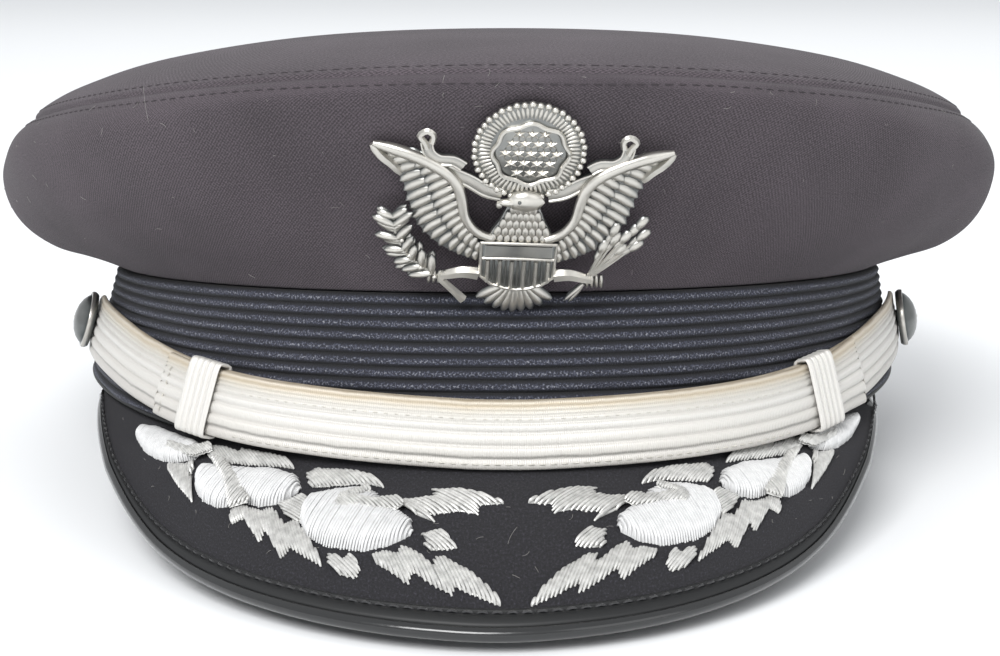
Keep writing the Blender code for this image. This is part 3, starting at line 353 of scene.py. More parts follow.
# Colours
TWILL = (0.038, 0.031, 0.036)
BRAID = (0.011, 0.012, 0.019)
FELT = (0.009, 0.0085, 0.0115)
PATENT = (0.006, 0.0065, 0.007)
IVORY = (0.565, 0.545, 0.510)
SILVER = (0.600, 0.595, 0.575)
WHITE = (0.620, 0.620, 0.620)
# Pewter: its own colour, then two steps of painted shade for the hollows of the relief
PEWTER_HIGH = (0.600, 0.580, 0.535)
PEWTER_HALF_SHADE = (0.220, 0.225, 0.220)
PEWTER_DEEP_SHADE = (0.070, 0.078, 0.078)
# Painted sheen: the light specks on the crests of the braid's ribs
SHEEN_SPECK = (0.240, 0.245, 0.265)
LINT = (0.240, 0.230, 0.220)
BLACK_THREAD = (0.035, 0.035, 0.037)
CREAM_THREAD = (0.520, 0.500, 0.450)
FLOOR = (0.860, 0.870, 0.880)
SKY = (0.960, 0.980, 1.000)
# Lace from its lower edge to its upper one, which is tarnished
LACE_COLOURS = (
    (0.00, (0.46, 0.44, 0.41)), (0.14, (0.52, 0.50, 0.47)), (0.17, (0.32, 0.31, 0.29)), (0.20, IVORY),
    (0.60, (0.60, 0.585, 0.555)), (0.78, (0.52, 0.50, 0.46)), (0.86, (0.52, 0.48, 0.41)),
    (0.92, (0.46, 0.39, 0.29)), (0.96, (0.52, 0.47, 0.39)), (1.00, (0.34, 0.28, 0.20)),
)

# Lights: name, place, size and power
LIGHTS = (
    ("key", (-0.40, -1.15, 1.05), 0.8, 24.0),
    ("fill", (1.00, -1.00, 0.70), 1.1, 3.5),
    ("back", (0.10, 1.20, 1.30), 1.2, 6.0),
)
LIGHT_AIM = (0.0, -0.03, 0.04)
SKY_STRENGTH = 0.80
FLOOR_HALF = 6.0

# Camera: sensor and lens in millimetres, place round what it looks at in metres and degrees
SENSOR = 36.0
LENS = 75.6
CAMERA_AIM = (0.0005, 0.0092, 0.0257)
CAMERA_DISTANCE = 0.5
CAMERA_ELEVATION = 11.76
CAMERA_AZIMUTH = -1.5


def rest_matrix():
    """From the cap's frame to the row frame, from the record's head_opening mount."""
    mount = next(m for m in frame["record"]["mounts"] if m["name"] == "head_opening")
    up = -Vector(mount["axis"]).normalized()
    right = Vector((1.0, 0.0, 0.0))
    back = up.cross(right)
    matrix = Matrix((right, back, up)).transposed().to_4x4()
    matrix.translation = Vector(mount["pos_m"])
    return np.array(matrix)


REST = rest_matrix()


def unit(vectors):
    """Vectors at length one."""
    return vectors / np.linalg.norm(vectors, axis=-1, keepdims=True)


def stacked(x, y, z):
    """Points from three broadcast arrays."""
    return np.stack(np.broadcast_arrays(x, y, z), axis=-1).astype(float)


def oval(bearing, growth, height):
    """A place on the head oval grown outwards by some amount."""
    turn = np.radians(bearing)
    lean = SIDE_LEAN * np.clip(np.asarray(height) / BAND_HEIGHT, 0.0, 1.0)
    x = np.sin(turn) * (HEAD_WIDTH / 2 + growth) + lean
    y = -np.cos(turn) * (HEAD_LENGTH / 2 + growth)
    return stacked(x, y, height)


def band_place(bearing, height, lift=0.0):
    """A place on the band's outer face at a height, or lifted off it."""
    return oval(bearing, BAND_WALL - BAND_TAPER * np.asarray(height) / BAND_HEIGHT + lift, height)


def eased(bearing, front, side, rear):
    """A value that eases from the front through the side to the rear."""
    along = np.cos(np.radians(bearing))
    front_share = np.maximum(along, 0.0) ** 2
    rear_share = np.maximum(-along, 0.0) ** 2
    return front * front_share + rear * rear_share + side * (1.0 - front_share - rear_share)


def smooth_rows(rows, count):
    """More rows on a smooth curve through a table's rows."""
    keys = np.linspace(0.0, len(rows) - 1.0, count)
    low = np.clip(np.floor(keys).astype(int), 0, len(rows) - 2)
    share = (keys - low)[:, None]
    before = rows[np.clip(low - 1, 0, None)]
    start = rows[low]
    end = rows[low + 1]
    after = rows[np.clip(low + 2, None, len(rows) - 1)]
    return 0.5 * (
        2.0 * start
        + (end - before) * share
        + (2.0 * before - 5.0 * start + 4.0 * end - after) * share**2
        + (3.0 * start - before - 3.0 * end + after) * share**3
    )


def crown_side_place(bearing, row):
    """Places on the crown's outer face between hem and seam for section rows."""
    front_out, front_up, side_out, side_up, rear_out, rear_up = np.moveaxis(row, -1, 0)
    out = eased(bearing, front_out * OVERHANG_FRONT, side_out * OVERHANG_SIDE, rear_out * OVERHANG_REAR)
    rise = eased(bearing, front_up * SEAM_RISE_FRONT, side_up * SEAM_RISE_SIDE, rear_up * SEAM_RISE_REAR)
    total = sum(share * np.exp(-(((bearing - at) / spread) ** 2)) for at, spread, share in FOLDS)
    lobe = np.sin(np.pi * np.clip(side_out, 0.0, 1.0)) * np.clip((0.55 - side_up) / 0.2, 0.0, 1.0)
    hem = BAND_WALL - BAND_TAPER - HEM_INSET
    return oval(bearing, hem + out, BAND_HEIGHT + SEAT_GAP + rise - FOLD_SAG * total * lobe)


def arch(bearing):
    """How far the band's bottom edge rises towards the sides."""
    return SIDE_ARCH * np.sin(np.radians(bearing)) ** 4


def between(turn, limits):
    """0 up to the first limit, 1 from the second one, and even between them."""
    return np.clip((np.abs(turn) - limits[0]) / (limits[1] - limits[0]), 0.0, 1.0)


def side_share(turn):
    """0 at the front of the peak, 1 along its sides."""
    share = between(turn, SIDE_TURNS)
    return share**2 * (3.0 - 2.0 * share)


def visor_edge(turn):
    """Places on the peak's outer edge, on its upper face."""
    angle = np.radians(turn)
    drop = smooth_interp(turn, VISOR_STATIONS[:, (0, 2)])
    shift = VISOR_SHIFT * smooth_interp(turn, VISOR_STATIONS[:, (0, 3)])
    reach = HEAD_LENGTH / 2 + BAND_WALL + VISOR_REACH
    inset = PEAK_INSET * side_share(turn) + CORNER_INSET * between(turn, CORNER_TURNS)
    height = arch(turn) - SEAT_GAP - (VISOR_DROP - SEAT_GAP) * drop
    return stacked(np.sin(angle) * (VISOR_HALF_WIDTH - inset) + shift, -np.cos(angle) * reach, height)


def visor_place(turn, share):
    """Places on the peak's upper face: share 0 at the band, 1 at the outer edge."""
    turn, share = np.broadcast_arrays(np.asarray(turn, float), np.asarray(share, float))
    tuck = np.interp(np.abs(turn), VISOR_STATIONS[:, 0], VISOR_STATIONS[:, 1]) * BAND_WALL
    root = band_place(turn, arch(turn), -tuck) + np.array((0.0, 0.0, -SEAT_GAP))
    edge = visor_edge(turn)
    place = root + (edge - root) * share[..., None]
    place[..., 2] += VISOR_CROWNING * np.sin(np.pi * share) * np.cos(np.radians(turn)) ** 2
    return place


def visor_axes(turn, share):
    """Directions on the peak's upper face: out of it square to its edge line, and up off it."""
    across = unit(visor_place(turn, share + 0.01) - visor_place(turn, share - 0.01))
    along = unit(visor_place(turn + 1.5, share) - visor_place(turn - 1.5, share))
    up = unit(np.cross(across, along))
    return np.cross(along, up), up


def visor_length(turn):
    """How long the peak is from its tucked root to its edge at a turn."""
    return np.linalg.norm(visor_place(turn, 1.0) - visor_place(turn, 0.0), axis=-1)


def strap_place(bearing, lift):
    """Places on the chin strap's middle line, lifted off the band."""
    climb = smooth_interp(np.abs(bearing), STRAP_STATIONS)
    sag = STRAP_RIGHT_SAG * np.sin(np.pi * np.clip(bearing / BUTTON_BEARING, 0.0, 1.0))
    height = STRAP_FRONT_HEIGHT + (BUTTON_HEIGHT - STRAP_FRONT_HEIGHT) * climb - sag
    return band_place(bearing, height, lift)


def smooth_interp(values, table):
    """A table's second column at values of its first, with its corners rounded off."""
    spread = np.array((-4.0, -2.0, 0.0, 2.0, 4.0))
    sampled = np.abs(np.asarray(values)[..., None] + spread)
    return np.interp(sampled, table[:, 0], table[:, 1]).mean(axis=-1)


def strap_axes(bearing):
    """Directions on the chin strap: along it, across it and out of it."""
    along = unit(strap_place(bearing + 1.0, 0.0) - strap_place(bearing - 1.0, 0.0))
    upward = band_place(bearing, BAND_HEIGHT) - band_place(bearing, 0.0)
    outward = unit(np.cross(along, upward))
    return along, np.cross(outward, along), outward


def badge_place(points):
    """From the flat badge, in metres from the middle of its shield, to its place before the crown."""
    roll = math.radians(-BADGE_ROLL)
    across = points[..., 0] * math.cos(roll) - points[..., 1] * math.sin(roll)
    rise = points[..., 0] * math.sin(roll) + points[..., 1] * math.cos(roll) + BADGE_FOOT
    lean = math.radians(BADGE_LEAN)
    out = BADGE_FOOT_STAND + rise * math.sin(lean) + points[..., 2] * math.cos(lean)
    height = BADGE_FOOT_HEIGHT + rise * math.cos(lean) - points[..., 2] * math.sin(lean)
    growth = BAND_WALL - BAND_TAPER + out
    bearing = np.degrees(np.arcsin(across / (HEAD_WIDTH / 2 + growth)))
    return oval(bearing, growth, height) + np.array((BADGE_ASIDE, 0.0, 0.0))


def in_row(points):
    """Points of the cap's frame in the row frame."""
    return points @ REST[:3, :3].T + REST[:3, 3]


def quads(rows, columns, closed=True):
    """Four-sided faces between rows of points, one after another."""
    faces = []
    for row in range(rows - 1):
        low = row * columns
        high = low + columns
        for index in range(columns if closed else columns - 1):
            after = (index + 1) % columns
            faces.append((low + index, low + after, high + after, high + index))
    return faces


def fan(count, centre, start=0):
    """Three-sided faces from a ring of points to the point in its middle."""
    return [(start + index, start + (index + 1) % count, centre) for index in range(count)]


def give_wall(item, thickness):
    """Thicken a sheet inwards."""
    shell = item.modifiers.new("wall", "SOLIDIFY")
    shell.thickness = thickness
    shell.offset = -1.0


def travelled_along(sheet):
    """How far each point of a sheet lies from its first row."""
    steps = np.linalg.norm(np.diff(sheet, axis=0), axis=-1)
    return np.concatenate((np.zeros((1, *steps.shape[1:])), np.cumsum(steps, axis=0)))


def finish_piece(name, mesh, material, nodes):
    """Put a mesh in the scene as a piece of the cap."""
    mesh.materials.append(material)
    item = placed(name, mesh)
    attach(item, "root")
    if nodes:
        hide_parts(*nodes)
    return item


def grid_piece(name, points, material, nodes=(), round_columns=True, round_rows=False, wall=0.0,
               uv=None):
    """A smooth sheet through rows of points, with a UV map in millimetres along and across it."""
    rows, columns = points.shape[:2]
    row_steps = rows if round_rows else rows - 1
    column_steps = columns if round_columns else columns - 1
    low = np.repeat(np.arange(row_steps), column_steps)
    left = np.tile(np.arange(column_steps), row_steps)
    high = (low + 1) % rows
    right = (left + 1) % columns
    corners = (low * columns + left, low * columns + right, high * columns + right, high * columns + left)
    faces = np.stack(corners, 1)
    mesh = bpy.data.meshes.new(name)
    mesh.from_pydata(in_row(points.reshape(-1, 3)).tolist(), [], faces.tolist())
    if uv is None:
        wrapped = np.concatenate((points, points[:, :1]), axis=1).swapaxes(0, 1)
        tall = np.concatenate((points, points[:1]), axis=0)
        uv = [travelled_along(sheet).mean(axis=1) * 1000.0 for sheet in (wrapped, tall)]
    u, v = uv
    layer = mesh.uv_layers.new(name="mm")
    corners = ((0, 0), (1, 0), (1, 1), (0, 1))
    loops = np.stack([np.stack((u[left + along], v[low + up]), 1) for along, up in corners], 1)
    layer.data.foreach_set("uv", loops.reshape(-1).astype(np.float32))
    mesh.shade_smooth()
    item = finish_piece(name, mesh, material, nodes)
    if wall:
        give_wall(item, wall)
    return item


class Bag:
    """Many small shapes that become one piece."""

    def __init__(self):
        self.points = []
        self.faces = []
        self.levels = []
        self.count = 0

    def add(self, points, faces, level=1.0):
        """Points as an (n, 3) array in the cap's frame, faces as lists of their places in it."""
        self.points.append(points)
        self.faces += [[index + self.count for index in face] for face in faces]
        self.levels.append(np.broadcast_to(level, len(points)))
        self.count += len(points)

    def piece(self, name, material, slot, nodes=(), levels=False, smooth=35.0):
        """All shapes as one smooth piece; levels of painted relief shade go into a colour attribute."""
        mesh = bpy.data.meshes.new(name)
        mesh.from_pydata(in_row(np.concatenate(self.points)).tolist(), [], self.faces)
        if levels:
            layer = mesh.color_attributes.new("relief", "FLOAT_COLOR", "POINT")
            level = np.concatenate(self.levels)
            colours = np.stack((level, level, level, np.ones_like(level)), 1)
            layer.data.foreach_set("color", colours.reshape(-1).astype(np.float32))
        mesh.shade_smooth()
        mesh.set_sharp_from_angle(angle=math.radians(smooth))
        return finish_piece(name, mesh, material, nodes)


def tube(path, up, radius, sides=6):
    """A capped tube along a path; up gives its upper side."""
    ahead = unit(np.gradient(path, axis=0))
    side = unit(np.cross(ahead, up))
    top = np.cross(side, ahead)
    angles = 2.0 * np.pi * np.arange(sides) / sides
    radius = np.broadcast_to(radius, len(path))[:, None, None]
    ring = side[:, None] * np.cos(angles)[None, :, None] + top[:, None] * np.sin(angles)[None, :, None]
    points = (path[:, None] + ring * radius).reshape(-1, 3)
    faces = quads(len(path), sides)
    faces.append(tuple(range(sides))[::-1])
    faces.append(tuple(range((len(path) - 1) * sides, len(path) * sides)))
    return points, [face[::-1] for face in faces]


class Surface:
    """A Principled material and the patterns hung on it."""

    def __init__(self, name, colour, roughness, metallic=0.0, sheen=0.0, coat=0.0):
        self.item = bpy.data.materials.new(name)
        self.item.use_nodes = True
        self.nodes = self.item.node_tree.nodes
        self.main = self.nodes["Principled BSDF"]
        self.fill(self.main, {
            "Base Color": (*colour, 1.0),
            "Roughness": roughness,
            "Metallic": metallic,
            "Sheen Weight": sheen,
            "Sheen Roughness": 0.5,
            "Coat Weight": coat,
            "Coat Roughness": 0.12,
        })

    def set(self, socket, value):
        """Give a socket a value or another node's output."""
        if isinstance(value, bpy.types.NodeSocket):
            self.item.node_tree.links.new(value, socket)
        else:
            socket.default_value = value

    def fill(self, node, values):
        """Set a node's sockets by their names."""
        for socket, value in values.items():
            self.set(node.inputs[socket], value)

    def add(self, kind, output, values):
        """A new node with its sockets set, and its output."""
        node = self.nodes.new("ShaderNode" + kind)
        self.fill(node, values)
        return node.outputs[output]

    def object_place(self):
        return self.add("TexCoord", "Object", {})

    def uv(self):
        return self.add("UVMap", "UV", {})

    def noise(self, source, scale, detail=2.0, roughness=0.5):
        values = {"Vector": source, "Scale": scale, "Detail": detail, "Roughness": roughness}
        return self.add("TexNoise", "Fac", values)

    def mapped(self, source, angle, scale=(1.0, 1.0, 1.0)):
        """A coordinate turned about Z and scaled."""
        return self.add("Mapping", "Vector", {
            "Vector": source, "Rotation": (0.0, 0.0, math.radians(angle)), "Scale": scale,
        })

    def bands(self, source, period, direction="X", distortion=0.0):
        """Stripes with a period in the source's units."""
        output = self.add("TexWave", "Fac", {
            "Vector": source,
            "Scale": 2.0 * math.pi / 20.0 / period,
            "Distortion": distortion,
            "Detail Scale": 3.0,
        })
        output.node.bands_direction = direction
        return output

    def math(self, operation, *values):
        """Arithmetic on outputs and numbers."""
        node = self.nodes.new("ShaderNodeMath")
        node.operation = operation
        for socket, value in zip(node.inputs, values):
            self.set(socket, value)
        return node.outputs["Value"]

    def ramp(self, source, stops):
        """Colours along a value."""
        output = self.add("ValToRGB", "Color", {"Fac": source})
        elements = output.node.color_ramp.elements
        while len(elements) < len(stops):
            elements.new(0.5)
        for element, (place, colour) in zip(elements, stops):
            element.position = place
            element.color = (*colour, 1.0)
        return output

    def colour(self, output):
        self.set(self.main.inputs["Base Color"], output)

    def bump(self, height, strength, distance):
        """Raise the surface by a pattern."""
        normal = self.add("Bump", "Normal", {"Strength": strength, "Distance": distance, "Height": height})
        self.set(self.main.inputs["Normal"], normal)


def tinted(colour, factor):
    """A colour made lighter or darker."""
    return tuple(min(value * factor, 1.0) for value in colour)


def twill_material():
    """Charcoal wool twill: fine diagonal ribs and soft mottling."""
    cloth = Surface("charcoal_twill", TWILL, 0.95, sheen=0.03)
    uv = cloth.uv()
    ribs = cloth.bands(cloth.mapped(uv, 50.0), 0.50, distortion=1.2)
    cross = cloth.bands(cloth.mapped(uv, -38.0), 0.60, distortion=1.8)
    threads = cloth.noise(uv, 2.8, 3.0, 0.8)
    woven = cloth.math("MULTIPLY_ADD", ribs, 0.17, cloth.math("MULTIPLY", cross, 0.10))
    mixed = cloth.math("ADD", woven, threads)
    level = cloth.math("MULTIPLY_ADD", cloth.noise(uv, 0.05, 3.0), 0.18, mixed)
    cloth.colour(cloth.ramp(level, ((0.40, tinted(TWILL, 0.30)), (0.66, TWILL), (0.90, tinted(TWILL, 2.6)))))
    cloth.bump(mixed, 0.5, 0.00022)
    return cloth.item


def braid_material():
    """Navy braid: painted sheen specks on each rib's crest, painted shade darkening the grooves."""
    braid = Surface("navy_braid", BRAID, 0.80, sheen=0.04)
    uv = braid.uv()
    groove = braid.bands(uv, 1.0, "Y")
    specks = braid.noise(braid.mapped(uv, 0.0, (2.2, 5.0, 1.0)), 1.0, 2.0, 0.75)
    # Painted sheen: the specks only show on the rib crests
    product = braid.math("MULTIPLY", braid.math("POWER", groove, 0.35), specks)
    # Painted shade: the second ramp darkens the colour in the grooves between ribs
    mix = braid.nodes.new("ShaderNodeMix")
    mix.data_type = "RGBA"
    mix.blend_type = "MULTIPLY"
    braid.fill(mix, {
        "Factor": 1.0,
        "A": braid.ramp(product, (
            (0.0, tinted(BRAID, 0.6)), (0.42, BRAID), (0.53, tinted(BRAID, 3.5)), (0.68, SHEEN_SPECK),
        )),
        "B": braid.ramp(groove, ((0.0, (0.25, 0.25, 0.25)), (0.40, (1.0, 1.0, 1.0)))),
    })
    braid.colour(mix.outputs["Result"])
    braid.bump(braid.math("ADD", specks, product), 0.7, 0.0003)
    return braid.item


def felt_material():
    """Black felt with a short fuzz."""
    felt = Surface("black_felt", FELT, 0.95, sheen=0.06)
    fuzz = felt.noise(felt.uv(), 2.2, 4.0, 0.75)
    stops = ((0.38, tinted(FELT, 0.4)), (0.56, tinted(FELT, 1.2)), (0.72, tinted(FELT, 5.0)))
    felt.colour(felt.ramp(fuzz, stops))
    felt.bump(fuzz, 0.5, 0.0003)
    return felt.item


def leather_material(name, roughness, coat):
    """Black leather, plain or glossy."""
    leather = Surface(name, PATENT, roughness, coat=coat)
    leather.bump(leather.noise(leather.object_place(), 900.0, 3.0), 0.15, 0.0002)
    return leather.item


def lace_material():
    """Ivory silver lace: fine cross threads, tan tarnish along the upper edge."""
    lace = Surface("ivory_lace", IVORY, 0.42, metallic=0.15, sheen=0.1)
    uv = lace.uv()
    stains = lace.noise(uv, 0.12, 3.0)
    across = lace.add("SeparateXYZ", "Y", {"Vector": uv})
    stained = lace.math("SUBTRACT", lace.math("MULTIPLY_ADD", stains, 0.10, across), 0.05)
    lace.colour(lace.ramp(stained, LACE_COLOURS))
    threads = lace.bands(uv, 0.42, distortion=0.6)
    lace.bump(lace.math("ADD", threads, lace.noise(uv, 2.0, 3.0)), 0.45, 0.00015)
    return lace.item


def strand_material(name, colour, roughness, metallic, spread):
    """Bullion or satin thread with slight differences between strands."""
    strand = Surface(name, colour, roughness, metallic=metallic)
    level = strand.noise(strand.object_place(), 700.0, 2.0)
    stops = ((0.30, tinted(colour, 1.0 - spread)), (0.70, tinted(colour, 1.0 + spread * 0.4)))
    strand.colour(strand.ramp(level, stops))
    strand.bump(level, 0.3, 0.0002)
    return strand.item


def pewter_material():
    """Pewter with painted shade: bright on the high relief, dark in the hollows."""
    pewter = Surface("pewter", PEWTER_HIGH, 0.30, metallic=0.90)
    relief = pewter.add("VertexColor", "Color", {})
    relief.node.layer_name = "relief"
    patches = pewter.noise(pewter.object_place(), 260.0, 3.0)
    level = pewter.math("SUBTRACT", pewter.math("MULTIPLY_ADD", patches, 0.35, relief), 0.17)
    # Painted shade: the relief level darkens the hollows and lights the high relief; the noise patches vary
    # the tone
    pewter.colour(pewter.ramp(level, (
        (0.10, PEWTER_DEEP_SHADE), (0.45, PEWTER_HALF_SHADE), (0.80, tinted(PEWTER_HIGH, 0.85)), (1.0, PEWTER_HIGH),
    )))
    pewter.bump(patches, 0.2, 0.0002)
    return pewter.item


def crown(twill, thread, fibre):
    """The crown's wall and top, their seam and its two rows of stitches."""
    rows = smooth_rows(CROWN_ROWS, 85)
    bearing = BEARINGS[None, :]
    side = crown_side_place(bearing, rows[:, None, :])
    level = np.linspace(0.0, 1.0, len(rows))[:, None]
    ripple = sum(
        height * np.sin(np.radians(bearing) * waves + phase + level * climb)
        for height, waves, phase, climb in RIPPLES
    )
    outward = unit(side - side.mean(axis=1, keepdims=True))
    side = side + outward * (ripple * np.sin(np.pi * level))[..., None]
    seam = side[-1]

    rings = smooth_rows(TOP_ROWS, 61)[:-1]
    share = rings[:, 0][:, None]
    fall = rings[:, 1][:, None]
    middle = BAND_HEIGHT + DOME_RISE
    top = stacked(
        SIDE_LEAN + (seam[None, :, 0] - SIDE_LEAN) * share,
        seam[None, :, 1] * share,
        middle + (seam[None, :, 2] - middle) * fall,
    )
    side = sewn(side[::-1])[::-1]
    top = sewn(top)
    grid_piece("crown_side_cloth", side, twill, ["crown_side"], wall=CROWN_WALL)
    top_piece = grid_piece("crown_top_cloth", top, twill, ["crown_top"], wall=CROWN_WALL)
    close_middle(top_piece, len(rings), len(BEARINGS))

    stitches = Bag()
    below = np.array((0.0, 0.0, 0.05))
    for sheet in (side[::-1], top):
        path = along_seam(sheet, TOPSTITCH_OFFSET)
        across = along_seam(sheet, TOPSTITCH_OFFSET + SEAM_SPREAD) - path
        along = np.roll(path, -1, axis=0) - np.roll(path, 1, axis=0)
        normal = unit(np.cross(along, across))
        facing = np.sign(np.sum(normal * (path - path.mean(axis=0) + below), axis=1))
        stitch_row(stitches, path, normal * facing[:, None], CROWN_STITCH)
    stitches.piece("crown_topstitching", thread, "crown_cloth")
    lint(side, 150, 5, "crown_lint", fibre, "crown_cloth", 0.009)


def along_seam(sheet, distance):
    """The path on a sheet that lies a distance from its first row."""
    travelled = travelled_along(sheet)
    columns = range(sheet.shape[1])
    return np.stack([
        [np.interp(distance, travelled[:, column], sheet[:, column, axis]) for axis in range(3)]
        for column in columns
    ])


def sewn(sheet):
    """A sheet pulled in along its first row, where it is sewn, and along its topstitching."""
    travelled = travelled_along(sheet)
    inward = -unit(sheet[0] - sheet[0].mean(axis=0) + np.array((0.0, 0.0, 0.06)))
    depth = SEAM_DEPTH * np.exp(-((travelled / SEAM_SPREAD) ** 2))
    depth += TOPSTITCH_DEPTH * np.exp(-(((travelled - TOPSTITCH_OFFSET) / TOPSTITCH_SPREAD) ** 2))
    return sheet + inward[None] * depth[..., None]


def close_middle(item, rows, columns):
    """Fill the small hole in the middle of a round sheet."""
    old = item.data
    last = [old.vertices[(rows - 1) * columns + index].co[:] for index in range(columns)]
    centre = tuple(np.array(last).mean(axis=0))
    mesh = bpy.data.meshes.new("crown_middle")
    mesh.from_pydata(last + [centre], [], fan(columns, columns))
    mesh.shade_smooth()
    cap = finish_piece("crown_middle_cloth", mesh, old.materials[0], ())
    give_wall(cap, CROWN_WALL)


def stitch_row(bag, path, normal, stitch, closed=True):
    """Short stitches along a path, half sunk into the cloth."""
    pitch, length, radius = stitch
    if closed:
        path = np.concatenate((path, path[:1]))
        normal = np.concatenate((normal, normal[:1]))
    travelled = travelled_along(path)
    for index in range(int(travelled[-1] / pitch)):
        keys = index * pitch + np.linspace(0.0, length, 5)
        points = np.stack([np.interp(keys, travelled, path[:, axis]) for axis in range(3)], 1)
        up = unit(np.stack([np.interp(keys, travelled, normal[:, axis]) for axis in range(3)], 1))
        lift = radius * np.array((-1.2, 0.2, 0.5, 0.2, -1.2))
        bag.add(*tube(points + up * lift[:, None], up, radius, 5))


def band(braid, edge):
    """The ribbed braid and the plain strip along its bottom edge."""
    heights = []
    lifts = []
    depth = RIB_DEPTH * RIB_DEEPENING
    for rib in range(RIB_COUNT):
        for step in range(RIB_STEPS):
            share = step / RIB_STEPS
            dent = RIB_DENT if step == 4 else 0.0
            heights.append((rib + share) * BAND_HEIGHT / RIB_COUNT)
            lifts.append(depth * (math.sin(math.pi * share) ** 0.6 - dent - 1.0))
    heights = np.array(heights + [BAND_HEIGHT])[:, None]
    lifts = np.array(lifts + [-depth])[:, None]
    rows = np.arange(len(heights))
    bearing = BEARINGS[None, :]
    wave = BAND_WAVE * np.sin(np.radians(bearing) * 23.0) * np.sin(rows * 0.7)[:, None]
    outer = band_place(bearing, arched(heights), lifts + wave)
    inner_heights = np.array((BAND_HEIGHT, BAND_HEIGHT / 2, 0.0))[:, None]
    inner = band_place(bearing, arched(inner_heights), -BAND_WALL)
    points = np.concatenate((outer, inner))
    ribs = np.concatenate((rows / RIB_STEPS, (RIB_COUNT, RIB_COUNT / 2, 0.0, 0.0)))
    around = np.arange(len(BEARINGS) + 1) * math.pi * HEAD_LENGTH * 1000.0 / len(BEARINGS)
    grid_piece("braid_band_cloth", points, braid, ["braid_band"], round_rows=True,
               uv=(around, ribs))
    angles = np.linspace(0.0, 2.0 * np.pi, 12, endpoint=False)[:, None]
    strip_heights = arched(STRIP_RADIUS + STRIP_RADIUS * np.sin(angles))
    strip = band_place(bearing, strip_heights, -0.0004 + STRIP_RADIUS * np.cos(angles))
    grid_piece("band_edge_piping", strip[::-1], edge, round_rows=True)


def arched(heights):
    """Heights on the band, squeezed where its bottom edge arches up."""
    return heights + arch(BEARINGS)[None, :] * (1.0 - heights / BAND_HEIGHT)


def visor(felt, gloss, matt, thread, fibre):
    """The felt board, the stitched welt inside its edge and the glossy rim."""
    turns = np.linspace(-89.0, 89.0, 181)[None, :]
    shares = np.linspace(0.0, 1.0, 41)[:, None]
    grid = visor_place(turns, shares)
    under = grid - visor_axes(turns, shares)[1] * VISOR_WALL
    points = np.concatenate((grid[::-1], under))
    lint(grid[5:36, 30:150], 70, 6, "visor_lint", fibre, "visor_cloth", 0.006)
    grid_piece("visor_felt", points, felt, ["visor"], round_columns=False, round_rows=True)
    edge_sweep("visor_welt_felt", WELT_PROFILE, matt, ["visor_welt"])
    edge_sweep("visor_rim_gloss", rim_profile(), gloss, ["visor_rim"])

    turns = np.linspace(-EDGE_END_TURN + 2.0, EDGE_END_TURN - 2.0, 400)
    out = WELT_SEAM * trim(turns)
    up = visor_axes(turns, 1.0)[1]
    path = visor_place(turns, 1.0 + out / visor_length(turns)) + up * 0.0004
    stitches = Bag()
    stitch_row(stitches, path, up, WELT_STITCH, closed=False)
    stitches.piece("visor_welt_stitches", thread, "visor_cloth")


def rim_profile():
    """The rim's section: a rounded nose with a short lip over and under the board."""
    middle = (RIM_TOP + RIM_BOTTOM) / 2
    half = (RIM_TOP - RIM_BOTTOM) / 2
    angles = np.radians(np.linspace(-90.0, 90.0, 17))
    rim = [(RIM_NOSE * math.cos(angle) ** 0.8, middle + half * math.sin(angle)) for angle in angles]
    rim += [(-0.0003, RIM_TOP + 0.0001), (-0.0006, RIM_TOP), (RIM_EDGE, RIM_TOP - 0.0003)]
    rim += [(RIM_EDGE, -0.0002), (RIM_EDGE, RIM_BOTTOM + 0.0003), (-0.0005, RIM_BOTTOM)]
    return rim


def corner_tabs(felt):
    """The small cloth tabs where the peak's corners are sewn to the band."""
    bag = Bag()
    for side in (-1.0, 1.0):
        turns = side * np.linspace(80.0, 89.0, 6)
        up = visor_axes(turns, 0.97)[1]
        radius = TAB_RADIUS * np.array((0.4, 0.9, 1.0, 1.0, 0.9, 0.5))
        bag.add(*tube(visor_place(turns, 0.97) + up * 0.0004, up, radius, 10))
    bag.piece("visor_corner_tabs", felt, "visor_cloth")


def lint(sheet, count, seed, name, material, slot, longest):
    """Loose fibres on a sheet: most are specks, a few are long and curled."""
    random = np.random.default_rng(seed)
    bag = Bag()
    rows, columns = sheet.shape[:2]
    for number in range(count):
        row = int(random.integers(3, rows - 4))
        column = int(random.integers(0, columns - 3))
        start = sheet[row, column]
        across = unit(sheet[row, column + 2] - start)
        rise = unit(sheet[row + 3, column] - start)
        out = unit(np.cross(across, rise))
        if out @ (start - np.array((0.0, 0.0, -0.04))) < 0.0:
            out = -out
        length = longest if number % 25 == 0 else random.uniform(0.0006, 0.0022)
        heading = random.uniform(0.0, 2.0 * math.pi) + random.uniform(-1.5, 1.5) * np.linspace(0.0, 1.0, 6)
        steps = across * np.cos(heading)[:, None] + rise * np.sin(heading)[:, None]
        fibre = start + np.cumsum(steps, axis=0) * length / 6.0 + out * 0.00015
        bag.add(*tube(fibre, out, FIBRE_RADIUS, 4))
    bag.piece(name, material, slot)


def trim(turn):
    """How wide the peak's trimming is, as a share of its width at the front."""
    return 1.0 - (1.0 - SIDE_TRIM) * side_share(turn)


def edge_sweep(name, profile, material, nodes):
    """A bar along the peak's outer edge; profile points are (out past the edge, up off the face)."""
    turns = np.linspace(-EDGE_END_TURN, EDGE_END_TURN, 241)
    outward, up = visor_axes(turns, 1.0)
    length = visor_length(turns)
    rows = []
    for out, lift in profile:
        on_face = visor_place(turns, 1.0 + min(out, 0.0) * trim(turns) / length)
        rows.append(on_face + outward * (max(out, 0.0) * trim(turns))[:, None] + up * lift)
    points = np.array(rows)
    normal = np.cross(points[1, 1] - points[1, 0], points[2, 0] - points[1, 0])
    if normal @ (points[1, 0] - points[:, 0].mean(axis=0)) < 0.0:
        points = points[::-1]
    grid_piece(name, points, material, nodes, round_columns=False, round_rows=True)


